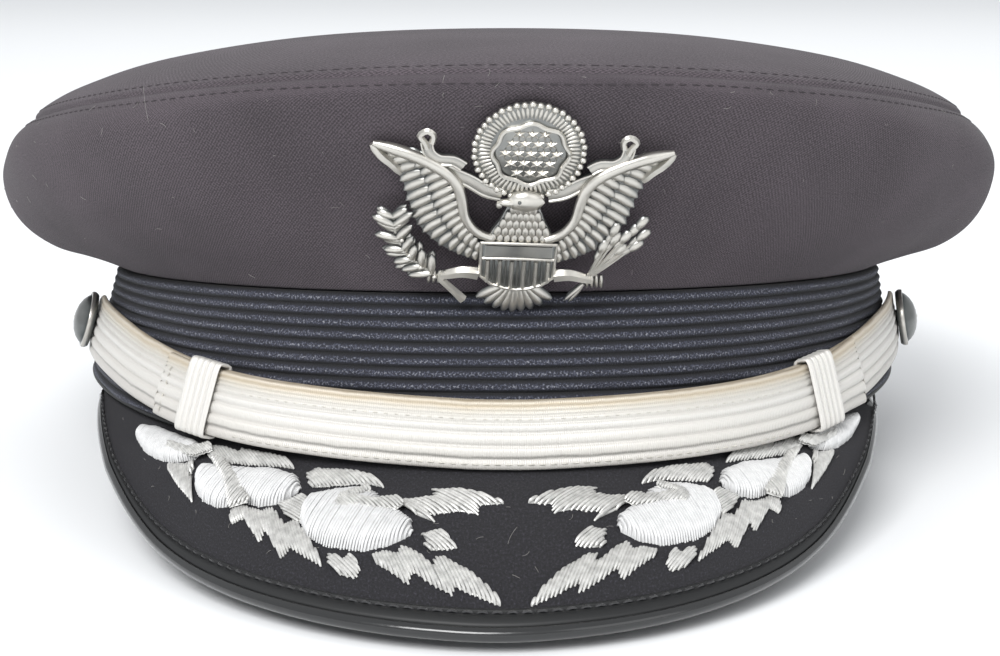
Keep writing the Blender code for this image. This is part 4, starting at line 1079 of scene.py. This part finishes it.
def lace_strap(name, bearings, lift, widths, material, nodes):
    """Lace along the strap's path: a flat back and the ribbed face."""
    place = strap_place(bearings, lift)
    _, across, outward = strap_axes(bearings)
    face = [(share, STRAP_WALL * (0.8 + 1.5 * (depth - 0.8))) for share, depth in LACE]
    back = [(share, 0.0) for share in LACE_BACK]
    points = np.array([
        place + across * ((share - 0.5) * widths)[:, None] + outward * wall for share, wall in face + back
    ])
    along = travelled_along(place) * 1000.0
    uv = (np.concatenate((along, along[-1:])), np.concatenate((LACE[:, 0], LACE_BACK, (0.0,))))
    item = grid_piece(name, points, material, nodes, round_columns=False, round_rows=True,
                      uv=uv)
    cap_ends(item, points, material)


def cap_ends(item, points, material):
    """Close a strap's two ends with fans."""
    bag = Bag()
    for column, order in ((0, 1), (points.shape[1] - 1, -1)):
        ring = points[:, column]
        faces = [face[::order] for face in fan(len(ring), len(ring))]
        bag.add(np.concatenate((ring, ring.mean(axis=0, keepdims=True))), faces)
    bag.piece(f"{item.name}_ends", material, "strap_lace")


def straps(lace, thread):
    """Both straps, their stitches and the two slides."""
    end = BUTTON_BEARING + math.degrees(STRAP_WIDTH / 2 / (HEAD_LENGTH / 2))
    bearings = -end * np.cos(np.linspace(0.0, np.pi, 261))
    left = np.clip((end - np.abs(bearings)) / (end - BUTTON_BEARING), 0.0, 1.0)
    widths = STRAP_WIDTH * np.maximum(np.sqrt(np.maximum(1.0 - (1.0 - left) ** 2, 0.0)), 0.3)
    lace_strap("strap_back_lace", bearings, STRAP_STAND, widths, lace, ["strap_back"])

    lift = STRAP_STAND + STRAP_WALL + 0.0002
    flare_start = KEEPER_RIGHT_BEARING + math.degrees(KEEPER_LENGTH / (HEAD_LENGTH / 2))
    bearings = np.linspace(STRAP_FRONT_START, STRAP_FRONT_END, 261)
    past = np.clip((bearings - flare_start) / (STRAP_FRONT_END - flare_start), 0.0, 1.0)
    widths = STRAP_WIDTH + STRAP_FLARE * past
    lace_strap("strap_front_lace", bearings, lift, widths, lace, ["strap_front"])

    stitches = Bag()
    for share in STRAP_STITCH_SHARES:
        inner = np.linspace(*STRAP_STITCH_RANGE, 300)
        _, across, outward = strap_axes(inner)
        path = strap_place(inner, lift) + across * (STRAP_WIDTH * (share - 0.5))
        path = path + outward * (STRAP_WALL * 0.88)
        stitch_row(stitches, path, outward, STRAP_STITCH, closed=False)
    keys = np.linspace(-0.42, 0.42, 20)
    end = np.full(len(keys), STRAP_FRONT_START + STRAP_END_TURN)
    _, across, outward = strap_axes(end)
    path = strap_place(end, lift) + across * (STRAP_WIDTH * keys)[:, None] + outward * STRAP_WALL
    stitch_row(stitches, path, outward, STRAP_END_STITCH, closed=False)
    stitches.piece("strap_stitches", thread, "strap_lace")

    keeper("keeper_left_lace", KEEPER_LEFT_BEARING, lace, "keeper_left")
    keeper("keeper_right_lace", KEEPER_RIGHT_BEARING, lace, "keeper_right")


def keeper(name, bearing, lace, node):
    """A slide: a rounded loop round both straps with upright ridges."""
    bearing = np.array(bearing)
    along, across, outward = strap_axes(bearing)
    middle = strap_place(bearing, STRAP_STAND)
    half = STRAP_WIDTH / 2 + KEEPER_EASE + KEEPER_WALL * 0.5
    near = -KEEPER_EASE
    far = 2.0 * STRAP_WALL + SEAT_GAP + KEEPER_EASE
    share = np.linspace(0.0, 1.0, 61)
    shifts = KEEPER_LENGTH * (share - 0.5)
    ridge = KEEPER_RIDGE * np.abs(np.sin(np.pi * share * KEEPER_RIDGES)) ** 0.7
    rows = []
    for angle in np.linspace(0.0, 2.0 * np.pi, 64, endpoint=False):
        up = math.copysign(abs(math.sin(angle)) ** 0.35, math.sin(angle))
        facing = math.copysign(abs(math.cos(angle)) ** 0.35, math.cos(angle))
        out = (far + near) / 2 + facing * (far - near) / 2
        grow = ridge[:, None] * (1.0 if facing > -0.5 else 0.3)
        base = middle + along * shifts[:, None] + across * (up * half) + outward * out
        rows.append(base + outward * grow * max(facing, 0.0) + across * grow * math.copysign(1.0, up) * 0.4)
    keys = np.linspace(0.0, 1.0, len(rows) + 1)
    uv = (np.concatenate((shifts, shifts[-1:])) * 1000.0, 0.30 + 0.30 * np.abs(2.0 * keys - 1.0))
    item = grid_piece(name, np.array(rows), lace, [node], round_columns=False, round_rows=True,
                      uv=uv)
    give_wall(item, KEEPER_WALL)


def button_frame(side):
    """The frame of a side button: its axis points straight out of the band at its foot."""
    bearing = np.array(side * BUTTON_BEARING)
    foot = strap_place(bearing, 0.0)
    upward = unit(band_place(bearing, BAND_HEIGHT) - band_place(bearing, 0.0))
    step = band_place(bearing + 0.5, 0.0) - band_place(bearing - 0.5, 0.0)
    outward = unit(np.array((step[1], -step[0], 0.0)))
    outward = unit(outward - upward * outward.dot(upward))
    return foot, np.cross(upward, outward), upward, outward


def button(name, side, pewter, node):
    """A domed button with a rolled edge and a raised star."""
    foot, sideways, upward, outward = button_frame(side)
    head = STRAP_STAND + STRAP_WALL + SEAT_GAP
    top = head + BUTTON_DOME
    rows = [(radius, top - fall, level) for radius, fall, level in BUTTON_DOME_ROWS]
    rows += [(0.92, head + 0.0001, 0.05), (0.3, head, 0.05), (0.2, SEAT_GAP, 0.05)]
    steps = 48

    def spot(angle, radius, height):
        around = sideways * math.cos(angle) + upward * math.sin(angle)
        return foot + around * radius * BUTTON_RADIUS + outward * height

    turns = [2.0 * math.pi * index / steps for index in range(steps)]
    points = [spot(angle, radius, height) for radius, height, _ in rows for angle in turns]
    bag = Bag()
    faces = [face[::-1] for face in quads(len(rows), steps)]
    bag.add(np.array(points), faces, np.repeat([level for _, _, level in rows], steps))
    star = [
        spot(math.pi * (0.5 + index / 5.0), STAR_REACH[index % 2], top - STAR_FALL[index % 2])
        for index in range(10)
    ]
    bag.add(np.array(star + [foot + outward * (top + 0.0002)]), fan(10, 10), 1.0)
    bag.piece(name, pewter, "pewter", [node], levels=True)


def add_bent(bag, points, faces, level):
    """A shape of the flat badge, bent into place."""
    bag.add(badge_place(points * MM), faces, level)


def lens(bag, start, end, width, base, height, bend=0.0, tip=0.55, level=(0.25, 1.0)):
    """A feather or leaf: a rounded ridge from start to end, blunt at its end."""
    start = np.array(start, float)
    end = np.array(end, float)
    ahead = end - start
    side = np.array((-ahead[1], ahead[0])) / np.linalg.norm(ahead)
    keys = np.linspace(0.0, 1.0, 8)
    spans = (0.55, 0.80, 0.95, 1.0, 1.0, 0.96, 0.78, 0.25 * tip)
    across = (-1.0, -0.75, -0.35, 0.0, 0.35, 0.75, 1.0)
    rise = (0.0, 0.62, 0.93, 1.0, 0.93, 0.62, 0.0)
    points = []
    levels = []
    for key, span in zip(keys, spans):
        middle = start + ahead * key + side * bend * math.sin(math.pi * key)
        ease = 0.35 if key == 1.0 else 0.75 + 0.25 * math.sin(math.pi * min(key * 1.2, 1.0))
        for offset, lift in zip(across, rise):
            spot = middle + side * offset * width / 2 * span
            points.append((*spot, base + height * lift * ease))
            levels.append(level[0] + (level[1] - level[0]) * lift * ease)
    count = len(across)
    faces = quads(len(keys), count, closed=False)
    faces.append(tuple(range((len(keys) - 1) * count, len(keys) * count)))
    faces.append(tuple(range(count))[::-1])
    add_bent(bag, np.array(points), [face[::-1] for face in faces], np.array(levels))


def plate(bag, outline, base, top, level=0.15, bevel=0.25):
    """A flat plate with a small bevel, from a convex or star-shaped outline."""
    outline = np.array(outline, float)
    after = np.roll(outline, -1, axis=0)
    if np.sum(outline[:, 0] * after[:, 1] - after[:, 0] * outline[:, 1]) < 0.0:
        outline = outline[::-1]
    centre = outline.mean(axis=0)
    spread = np.linalg.norm(outline - centre, axis=1, keepdims=True)
    inner = centre + (outline - centre) * (1.0 - bevel / np.maximum(spread, bevel * 2.0))
    count = len(outline)
    rings = ((outline, base), (outline, top - bevel * 0.6), (inner, top))
    points = [(x, y, z) for ring, z in rings for x, y in ring] + [(*centre, top)]
    add_bent(bag, np.array(points), quads(3, count) + fan(count, 3 * count, 2 * count), level)


def cord_ring(bag, path, radius, level, closed=False, sides=6):
    """A rounded cord along a flat path with heights."""
    path = np.array(path, float)
    if closed:
        path = np.concatenate((path, path[:2]))
    up = np.tile((0.0, 0.0, 1.0), (len(path), 1))
    points, faces = tube(path, up, radius, sides)
    add_bent(bag, points, faces, level)


def bead(bag, x, y, z, radius, level, stretch=(1.0, 1.0, 1.0)):
    """A small ball or egg."""
    rings = ((0.62, 0.78), (0.95, 0.31), (0.95, -0.31), (0.62, -0.78))
    angles = [math.pi * index / 4.0 for index in range(8)]
    points = [
        (wide * math.cos(angle), wide * math.sin(angle), high) for wide, high in rings for angle in angles
    ]
    points.append((0.0, 0.0, 1.0))
    faces = [face[::-1] for face in quads(4, 8)] + fan(8, 32)
    add_bent(bag, np.array(points) * radius * np.array(stretch) + np.array((x, y, z)), faces, level)


def wing(bag, mirror):
    """One wing: its base, two tiers of feathers and the smooth leading edge."""
    flip = np.array((mirror, 1.0))
    trail = smooth_rows(WING_TRAIL, WING_ROWS)
    inner = smooth_rows(WING_INNER, WING_ROWS)
    count = WING_ROWS
    points = [(x * mirror, y, z) for z in (0.0, 0.8) for x, y in np.concatenate((trail * 0.985, inner))]
    faces = []
    for index in range(count - 1):
        low = (index, index + 1, count + index + 1, count + index)
        high = tuple(2 * count + value for value in low)
        faces += [low[::-1], high] if mirror < 0 else [low, high[::-1]]
    add_bent(bag, np.array(points, float), faces, 0.30)
    shares = np.linspace(0.0, 1.0, count)
    for index, share in enumerate(shares):
        reach = trail[index] - inner[index]
        tip = trail[index] + reach * (0.03 + 0.02 * (index % 2))
        middle = inner[index] + reach * 0.46
        width = 2.35 - 0.55 * share
        lens(bag, middle * flip, tip * flip, width, 0.55, 0.75, bend=0.25 * mirror, level=(0.12, 0.95))
    for index, share in enumerate(shares):
        middle = inner[index] + (trail[index] - inner[index]) * 0.56
        width = 2.30 - 0.60 * share
        lens(bag, inner[index] * flip, middle * flip, width, 0.95, 0.75, bend=0.2 * mirror, level=(0.15, 1.0))
    steps = 28
    widths = np.interp(np.linspace(0.0, 1.0, steps), (0.0, 0.10, 0.3, 0.6, 1.0), (0.5, 1.15, 1.2, 1.0, 0.8))
    heights = 1.1 + 0.5 * np.sin(np.linspace(0.3, 2.8, steps))
    cord_ring(bag, np.column_stack((smooth_rows(WING_EDGE, steps) * flip, heights)), widths, 0.9, sides=8)
    widths = np.array((0.5, 0.9, 1.0, 1.0, 0.95, 0.9, 0.8, 0.5))
    path = np.column_stack((smooth_rows(WING_TIP, len(widths)) * flip, np.full(len(widths), 0.9)))
    cord_ring(bag, path, widths, 0.85)


def badge(pewter):
    """The whole badge: an eagle with a striped shield, a glory, a bare scroll, a branch and arrows."""
    bag = Bag()
    for mirror in (-1.0, 1.0):
        wing(bag, mirror)
    glory(bag)
    scrolls(bag)
    eagle_body(bag)
    shield(bag)
    branch(bag)
    arrows(bag)
    # The shapes' levels are painted shade: dark in the hollows, light on the high relief
    bag.piece("badge_relief", pewter, "pewter", ["badge"], levels=True, smooth=50.0)


def glory(bag):
    """The round glory: beaded rim, rays, a wavy cloud ring and a lattice of stars."""
    middle = np.array(GLORY)

    def around(count, radius):
        angles = 2.0 * math.pi * np.arange(count) / count
        return [middle + radius * np.array((math.cos(angle), math.sin(angle))) for angle in angles]

    plate(bag, around(GLORY_RAYS, GLORY_RADIUS), 0.2, 1.1, 0.45)
    rims = (around(GLORY_BEADS, GLORY_RADIUS - 0.15), around(GLORY_BEADS, GLORY_RADIUS))
    for index in range(GLORY_BEADS):
        bead(bag, *rims[index % 2][index], 1.2, 0.66, 0.95)
    for near, far in zip(around(GLORY_RAYS, 7.0), around(GLORY_RAYS, 9.3)):
        lens(bag, near, far, 0.76, 1.0, 0.36, level=(0.45, 0.95))
    x, y = CLOUD_RING
    keys = np.linspace(0.0, 2.0 * math.pi, 72, endpoint=False)
    radius = 6.70 + 0.32 * np.cos(keys * 8.0)
    heights = np.full(len(keys), 1.55)
    cloud = np.column_stack((x + radius * np.cos(keys), y + 0.93 * radius * np.sin(keys), heights))
    cord_ring(bag, cloud, 0.42, 1.0, closed=True)
    inside = np.column_stack((x + 6.5 * np.cos(keys[::3]), y + 6.0 * np.sin(keys[::3])))
    plate(bag, inside, 1.0, 1.35, 0.50)
    for row, columns in enumerate(STAR_ROWS):
        for column in range(columns):
            star(bag, x + (column - (columns - 1) / 2.0) * 2.3, y + (row - 2) * 2.05, 1.3, 1.30)


def star(bag, x, y, z, radius):
    """A small six-pointed star."""
    points = [(x, y, z + 0.55)]
    for index in range(12):
        reach = radius * (1.0, 0.42)[index % 2]
        angle = math.pi * (index / 6.0 + 0.5)
        points.append((x + reach * math.cos(angle), y + reach * math.sin(angle), z + (0.25, 0.0)[index % 2]))
    add_bent(bag, np.array(points), fan(12, 0, start=1), 0.95)


def scrolls(bag):
    """A bare scroll behind the head: two arms that fold back and curl."""
    for mirror in (-1.0, 1.0):
        ribbon(bag, smooth_rows(SCROLL_ARM, 16), mirror, 1.45, 0.9)
        ribbon(bag, smooth_rows(SCROLL_BACK, 16), mirror, 1.15, 1.5)
        curl = smooth_rows(SCROLL_CURL, 14) * np.array((mirror, 1.0)) + np.array((SCROLL_SHIFT, 0.0))
        cord_ring(bag, np.column_stack((curl, np.full(len(curl), 1.8))), 0.62, 0.95)


def ribbon(bag, path, mirror, half, base):
    """A flat band with raised edges along a path."""
    ahead = np.gradient(path, axis=0)
    side = np.column_stack((-ahead[:, 1], ahead[:, 0])) / np.linalg.norm(ahead, axis=1, keepdims=True)
    points = []
    levels = []
    for spot, across in zip(path, side):
        for offset, lift, level in RIBBON_PROFILE:
            x, y = spot + across * offset * half
            points.append((x * mirror + SCROLL_SHIFT, y, base + lift))
            levels.append(level)
    count = len(RIBBON_PROFILE)
    faces = quads(len(path), count, closed=False)
    if mirror > 0:
        faces = [face[::-1] for face in faces]
    faces += [tuple(range(count)), tuple(range((len(path) - 1) * count, len(path) * count))[::-1]]
    add_bent(bag, np.array(points), faces, np.array(levels))


def eagle_body(bag):
    """Head, neck, breast, legs and tail."""
    plate(bag, BREAST, 0.2, 1.3, 0.45)
    for row in range(5):
        wide = 5.7 - row * 0.86
        count = 9 - row
        low = 4.6 + row * 1.75
        for index in range(count):
            across = (index - (count - 1) / 2.0) * 2.0 * wide / count + 0.5
            foot = (across * 1.08, low - 0.3)
            lens(bag, (across, low + 2.0), foot, 1.45, 1.25 + row * 0.12, 0.5, level=(0.3, 1.0))
    bead(bag, 0.8, 14.4, 1.7, 2.7, 0.95, (1.35, 0.86, 0.62))
    bead(bag, -2.4, 14.2, 2.2, 1.2, 1.0, (1.6, 0.65, 0.7))
    bead(bag, -4.0, 13.6, 2.1, 0.65, 0.9, (1.0, 1.3, 0.8))
    bead(bag, -0.4, 14.9, 3.2, 0.36, 0.2)
    for spread in np.linspace(-1.0, 1.0, 9):
        start = (0.2 + spread * 1.6, -4.9)
        end = (spread * 7.0, -11.5 + 2.9 * spread * spread)
        lens(bag, start, end, 2.3, 0.6 + 0.25 * (1.0 - abs(spread)), 0.85, tip=1.6, level=(0.15, 1.0))
    for mirror in (-1.0, 1.0):
        leg = np.array(LEG) * np.array((mirror, 1.0, 1.0))
        cord_ring(bag, smooth_rows(leg, 10), np.linspace(1.35, 0.85, 10), 0.9)
        for index in range(4):
            spot = 13.3 + 0.9 * index
            lens(bag, (spot * mirror, -2.0), ((spot + 0.2) * mirror, -5.2), 0.9, 1.3, 0.7, level=(0.2, 1.0))


def shield(bag):
    """The shield: a plain chief over upright stripes in a raised border."""
    plate(bag, SHIELD, 0.4, 2.0, 0.30)
    border = np.array([(x, y, 2.0) for x, y in SHIELD])
    dense = np.concatenate([np.linspace(a, b, 6)[:-1] for a, b in zip(border, np.roll(border, -1, axis=0))])
    cord_ring(bag, dense, 0.32, 1.0, closed=True)
    plate(bag, CHIEF, 1.8, 2.25, 0.55)
    cord_ring(bag, ((-6.5, 1.5, 2.1), (0.1, 1.65, 2.2), (6.8, 1.5, 2.1)), 0.30, 1.0)
    for index in range(11):
        across = -5.4 + index * 1.12
        foot = -3.6 - 1.4 * (1.0 - (abs(across) / 6.0) ** 2)
        wide, level = ((0.44, 0.95), (0.22, 0.5))[index % 2]
        cord_ring(bag, ((across, 1.1, 2.0), (across, foot, 1.95)), wide, level)


def branch(bag):
    """The branch on the left: a stem, pairs of leaves and berries."""
    steps = 26
    stem = smooth_rows(STEM, steps)
    cord_ring(bag, stem, 0.5, 0.8)
    cord_ring(bag, stem[:7], np.linspace(0.95, 0.7, 7), 0.95)
    for index in range(8, steps):
        spot = stem[index]
        ahead = stem[min(index + 1, steps - 1)] - stem[index - 1]
        heading = math.atan2(ahead[1], ahead[0])
        for side in (-1.0, 1.0):
            lean = heading + side * math.radians(52.0 + 9.0 * math.sin(index * 2.3))
            length = 3.9 + 0.6 * math.sin(index * 1.7)
            end = (spot[0] + length * math.cos(lean), spot[1] + length * math.sin(lean))
            lens(bag, spot[:2], end, 1.7, 0.7 + 0.45 * (index % 3), 0.8, tip=0.2, level=(0.15, 1.0))
        if index % 4 == 1:
            bead(bag, spot[0] + 1.2, spot[1] - 1.2, 1.9, 0.5, 1.0)


def arrows(bag):
    """The arrows on the right: shafts, heads above and flights below."""
    for index, tip in enumerate(np.array(ARROW_TIPS)):
        cord_ring(bag, ((*ARROW_GRIP, 1.3), (*(ARROW_GRIP + tip) / 2, 1.5), (*tip, 1.3)), 0.30, 0.8)
        ahead = (tip - ARROW_GRIP) / np.linalg.norm(tip - ARROW_GRIP)
        base = 1.0 + 0.15 * (index % 3)
        lens(bag, tip - ahead * 0.6, tip + ahead * 2.6, 1.9, base, 0.8, tip=0.1, level=(0.15, 1.0))
        lens(bag, tip - ahead * 2.6, tip + ahead * 0.2, 1.5, 0.9, 0.7, tip=0.2, level=(0.15, 0.9))
        aside = 0.9 * (0.4 + 0.35 * index / 3.0)
        foot = ARROW_GRIP - ahead * 2.4 - np.array((aside + 0.7, aside + 1.4))
        lens(bag, ARROW_GRIP - ahead * 0.4, foot, 1.0, 0.9 + 0.1 * index, 0.6, level=(0.15, 0.95))


def on_peak(plane_points, height):
    """Points of the embroidery's flat plane, in millimetres, at heights above the peak's face."""
    turn = plane_points[..., 0] / DEGREE
    share = plane_points[..., 1] / PLANE
    place = visor_place(turn, share)
    _, up = visor_axes(turn, share)
    return place + up * np.asarray(height)[..., None], up


def chords(outline, angle, pitch):
    """Parallel chords across an outline: for each hatch line, pairs of end points."""
    along = np.array((math.cos(math.radians(angle)), math.sin(math.radians(angle))))
    across = np.array((-along[1], along[0]))
    reach = outline @ across
    lines = []
    for level in np.arange(reach.min() + pitch * 0.35, reach.max(), pitch):
        hits = []
        for start, end in zip(outline, np.roll(outline, -1, axis=0)):
            low = start @ across - level
            high = end @ across - level
            if (low < 0.0) != (high < 0.0):
                hits.append((start + (end - start) * low / (low - high)) @ along)
        hits.sort()
        lines.append([(low, high, level) for low, high in zip(hits[::2], hits[1::2])])
    return lines, along, across


def strands(outline, angle, thread, number, stand=0.0):
    """Thread laid side by side across an outline, arched over its padding, and the padding itself."""
    pitch, radius, height, first_seed, edge = thread
    random = np.random.default_rng(first_seed + number)
    lines, along, across = chords(outline, angle, pitch)
    keys = np.linspace(0.0, 1.0, 11)
    thick = radius * np.array((0.55, 0.9, 1.0, 1.0, 1.0, 1.0, 1.0, 1.0, 1.0, 0.9, 0.55))
    padding = quads(2, len(keys), closed=False)
    bag = Bag()
    before = []
    for line in lines:
        current = []
        for low, high, level in line:
            long = high - low
            if long < pitch * 0.7:
                continue
            low -= edge + random.uniform(-0.15, 0.20)
            high += edge + random.uniform(-0.15, 0.20)
            rise = min(height * 1000.0, 0.30 * long + 0.25)
            bow = random.uniform(-0.06, 0.06) * np.sin(np.pi * keys)
            spots = along * (low + (high - low) * keys)[:, None] + across * (level + bow)[:, None]
            lift = rise * (1.0 - np.abs(2.0 * keys - 1.0) ** 3.0) ** 0.7 * 0.001 + radius * 0.3 + stand
            lift = lift + random.uniform(-0.00006, 0.00008)
            path, up = on_peak(spots, lift)
            bag.add(*tube(path, up, thick, 7))
            current.append((low, high, path - up * radius * 1.35))
        for low, high, path in current:
            for old_low, old_high, old_path in before:
                if min(high, old_high) - max(low, old_low) > 0.3 * min(high - low, old_high - old_low):
                    bag.add(np.concatenate((old_path, path)), padding)
        before = current
    return bag


def embroidery(white, silver):
    """Clouds and darts on both sides of the peak."""
    for side, word in ((-1.0, "left"), (1.0, "right")):
        for number, (name, (angle, points)) in enumerate(CLOUDS.items()):
            bag = strands(plane_outline(points, side), 90.0 - side * (90.0 - angle), CLOUD_THREAD, number)
            bag.piece(f"{name}_{word}_strands", white, "cloud_padding", [f"{name}_{word}"])
        for number, (name, (angle, points)) in enumerate(DARTS.items()):
            bag = strands(plane_outline(points, side), 90.0 - side * (90.0 + angle), DART_THREAD, number)
            bag.piece(f"{name}_{word}_strands", silver, "dart_bullion", [f"{name}_{word}"])
        for number, (name, angle, stand, points) in enumerate(OVERLAYS):
            outline = plane_outline(points, side)
            bag = strands(outline, 90.0 - side * (90.0 + angle), OVERLAY_THREAD, number, stand)
            bag.piece(f"{name}_{word}_{number}_strands", silver, "dart_bullion")


def plane_outline(points, side):
    """A motif's outline on the embroidery's flat plane."""
    flat = np.array(points, float)
    return np.column_stack(((EMBROIDERY_MIDDLE + side * flat[:, 0]) * DEGREE, flat[:, 1] * PLANE))


def stage():
    """A pale floor, a soft sky, three soft lights and the photo's camera."""
    mesh = bpy.data.meshes.new("floor")
    corners = [(x * FLOOR_HALF, y * FLOOR_HALF, 0.0) for x, y in ((-1, -1), (1, -1), (1, 1), (-1, 1))]
    mesh.from_pydata(corners, [], [(0, 1, 2, 3)])
    floor = placed("floor", mesh)
    surface = Surface("pale_floor", FLOOR, 0.9)
    surface.main.inputs["Specular IOR Level"].default_value = 0.1
    mesh.materials.append(surface.item)

    world = bpy.data.worlds.new("studio")
    bpy.context.scene.world = world
    world.use_nodes = True
    sky = world.node_tree.nodes["Background"]
    sky.inputs["Color"].default_value = (*SKY, 1.0)
    sky.inputs["Strength"].default_value = SKY_STRENGTH
    bpy.context.scene.view_settings.view_transform = "Standard"

    for name, place, size, power in LIGHTS:
        light = bpy.data.lights.new(name, "AREA")
        light.size = size
        light.energy = power
        aimed(placed(name, light), Vector(place), Vector(LIGHT_AIM))

    camera = bpy.data.cameras.new("camera")
    camera.sensor_width = SENSOR
    camera.lens = LENS
    camera.clip_start = 0.01
    elevation = math.radians(CAMERA_ELEVATION)
    azimuth = math.radians(CAMERA_AZIMUTH)
    level = math.cos(elevation)
    away = Vector((math.sin(azimuth) * level, -math.cos(azimuth) * level, math.sin(elevation)))
    aim = Vector(CAMERA_AIM)
    eye = placed("camera", camera)
    aimed(eye, aim + away * CAMERA_DISTANCE, aim)
    bpy.context.scene.camera = eye


def placed(name, data):
    """A new object in the scene."""
    item = bpy.data.objects.new(name, data)
    bpy.context.scene.collection.objects.link(item)
    return item


def aimed(item, place, aim):
    """Put a light or camera somewhere, looking at a point."""
    item.location = place
    item.rotation_euler = (aim - place).to_track_quat("-Z", "Y").to_euler()


def main():
    """Make the materials, every part of the cap and the stage."""
    twill = twill_material()
    braid = braid_material()
    felt = felt_material()
    gloss = leather_material("patent_rim", 0.22, 0.6)
    matt = leather_material("matt_leather", 0.55, 0.0)
    lace = lace_material()
    white = strand_material("white_satin", WHITE, 0.55, 0.0, 0.10)
    silver = strand_material("silver_bullion", SILVER, 0.40, 0.35, 0.25)
    dark_thread = strand_material("charcoal_thread", tinted(TWILL, 0.8), 0.9, 0.0, 0.2)
    lint_fibre = strand_material("lint", LINT, 0.9, 0.0, 0.4)
    black_thread = strand_material("black_thread", BLACK_THREAD, 0.25, 0.0, 0.4)
    cream_thread = strand_material("cream_thread", CREAM_THREAD, 0.6, 0.0, 0.3)
    pewter = pewter_material()
    crown(twill, dark_thread, lint_fibre)
    band(braid, matt)
    visor(felt, gloss, matt, black_thread, lint_fibre)
    corner_tabs(felt)
    straps(lace, cream_thread)
    button("button_left_dome", -1.0, pewter, "button_left")
    button("button_right_dome", 1.0, pewter, "button_right")
    badge(pewter)
    embroidery(white, silver)
    stage()


main()
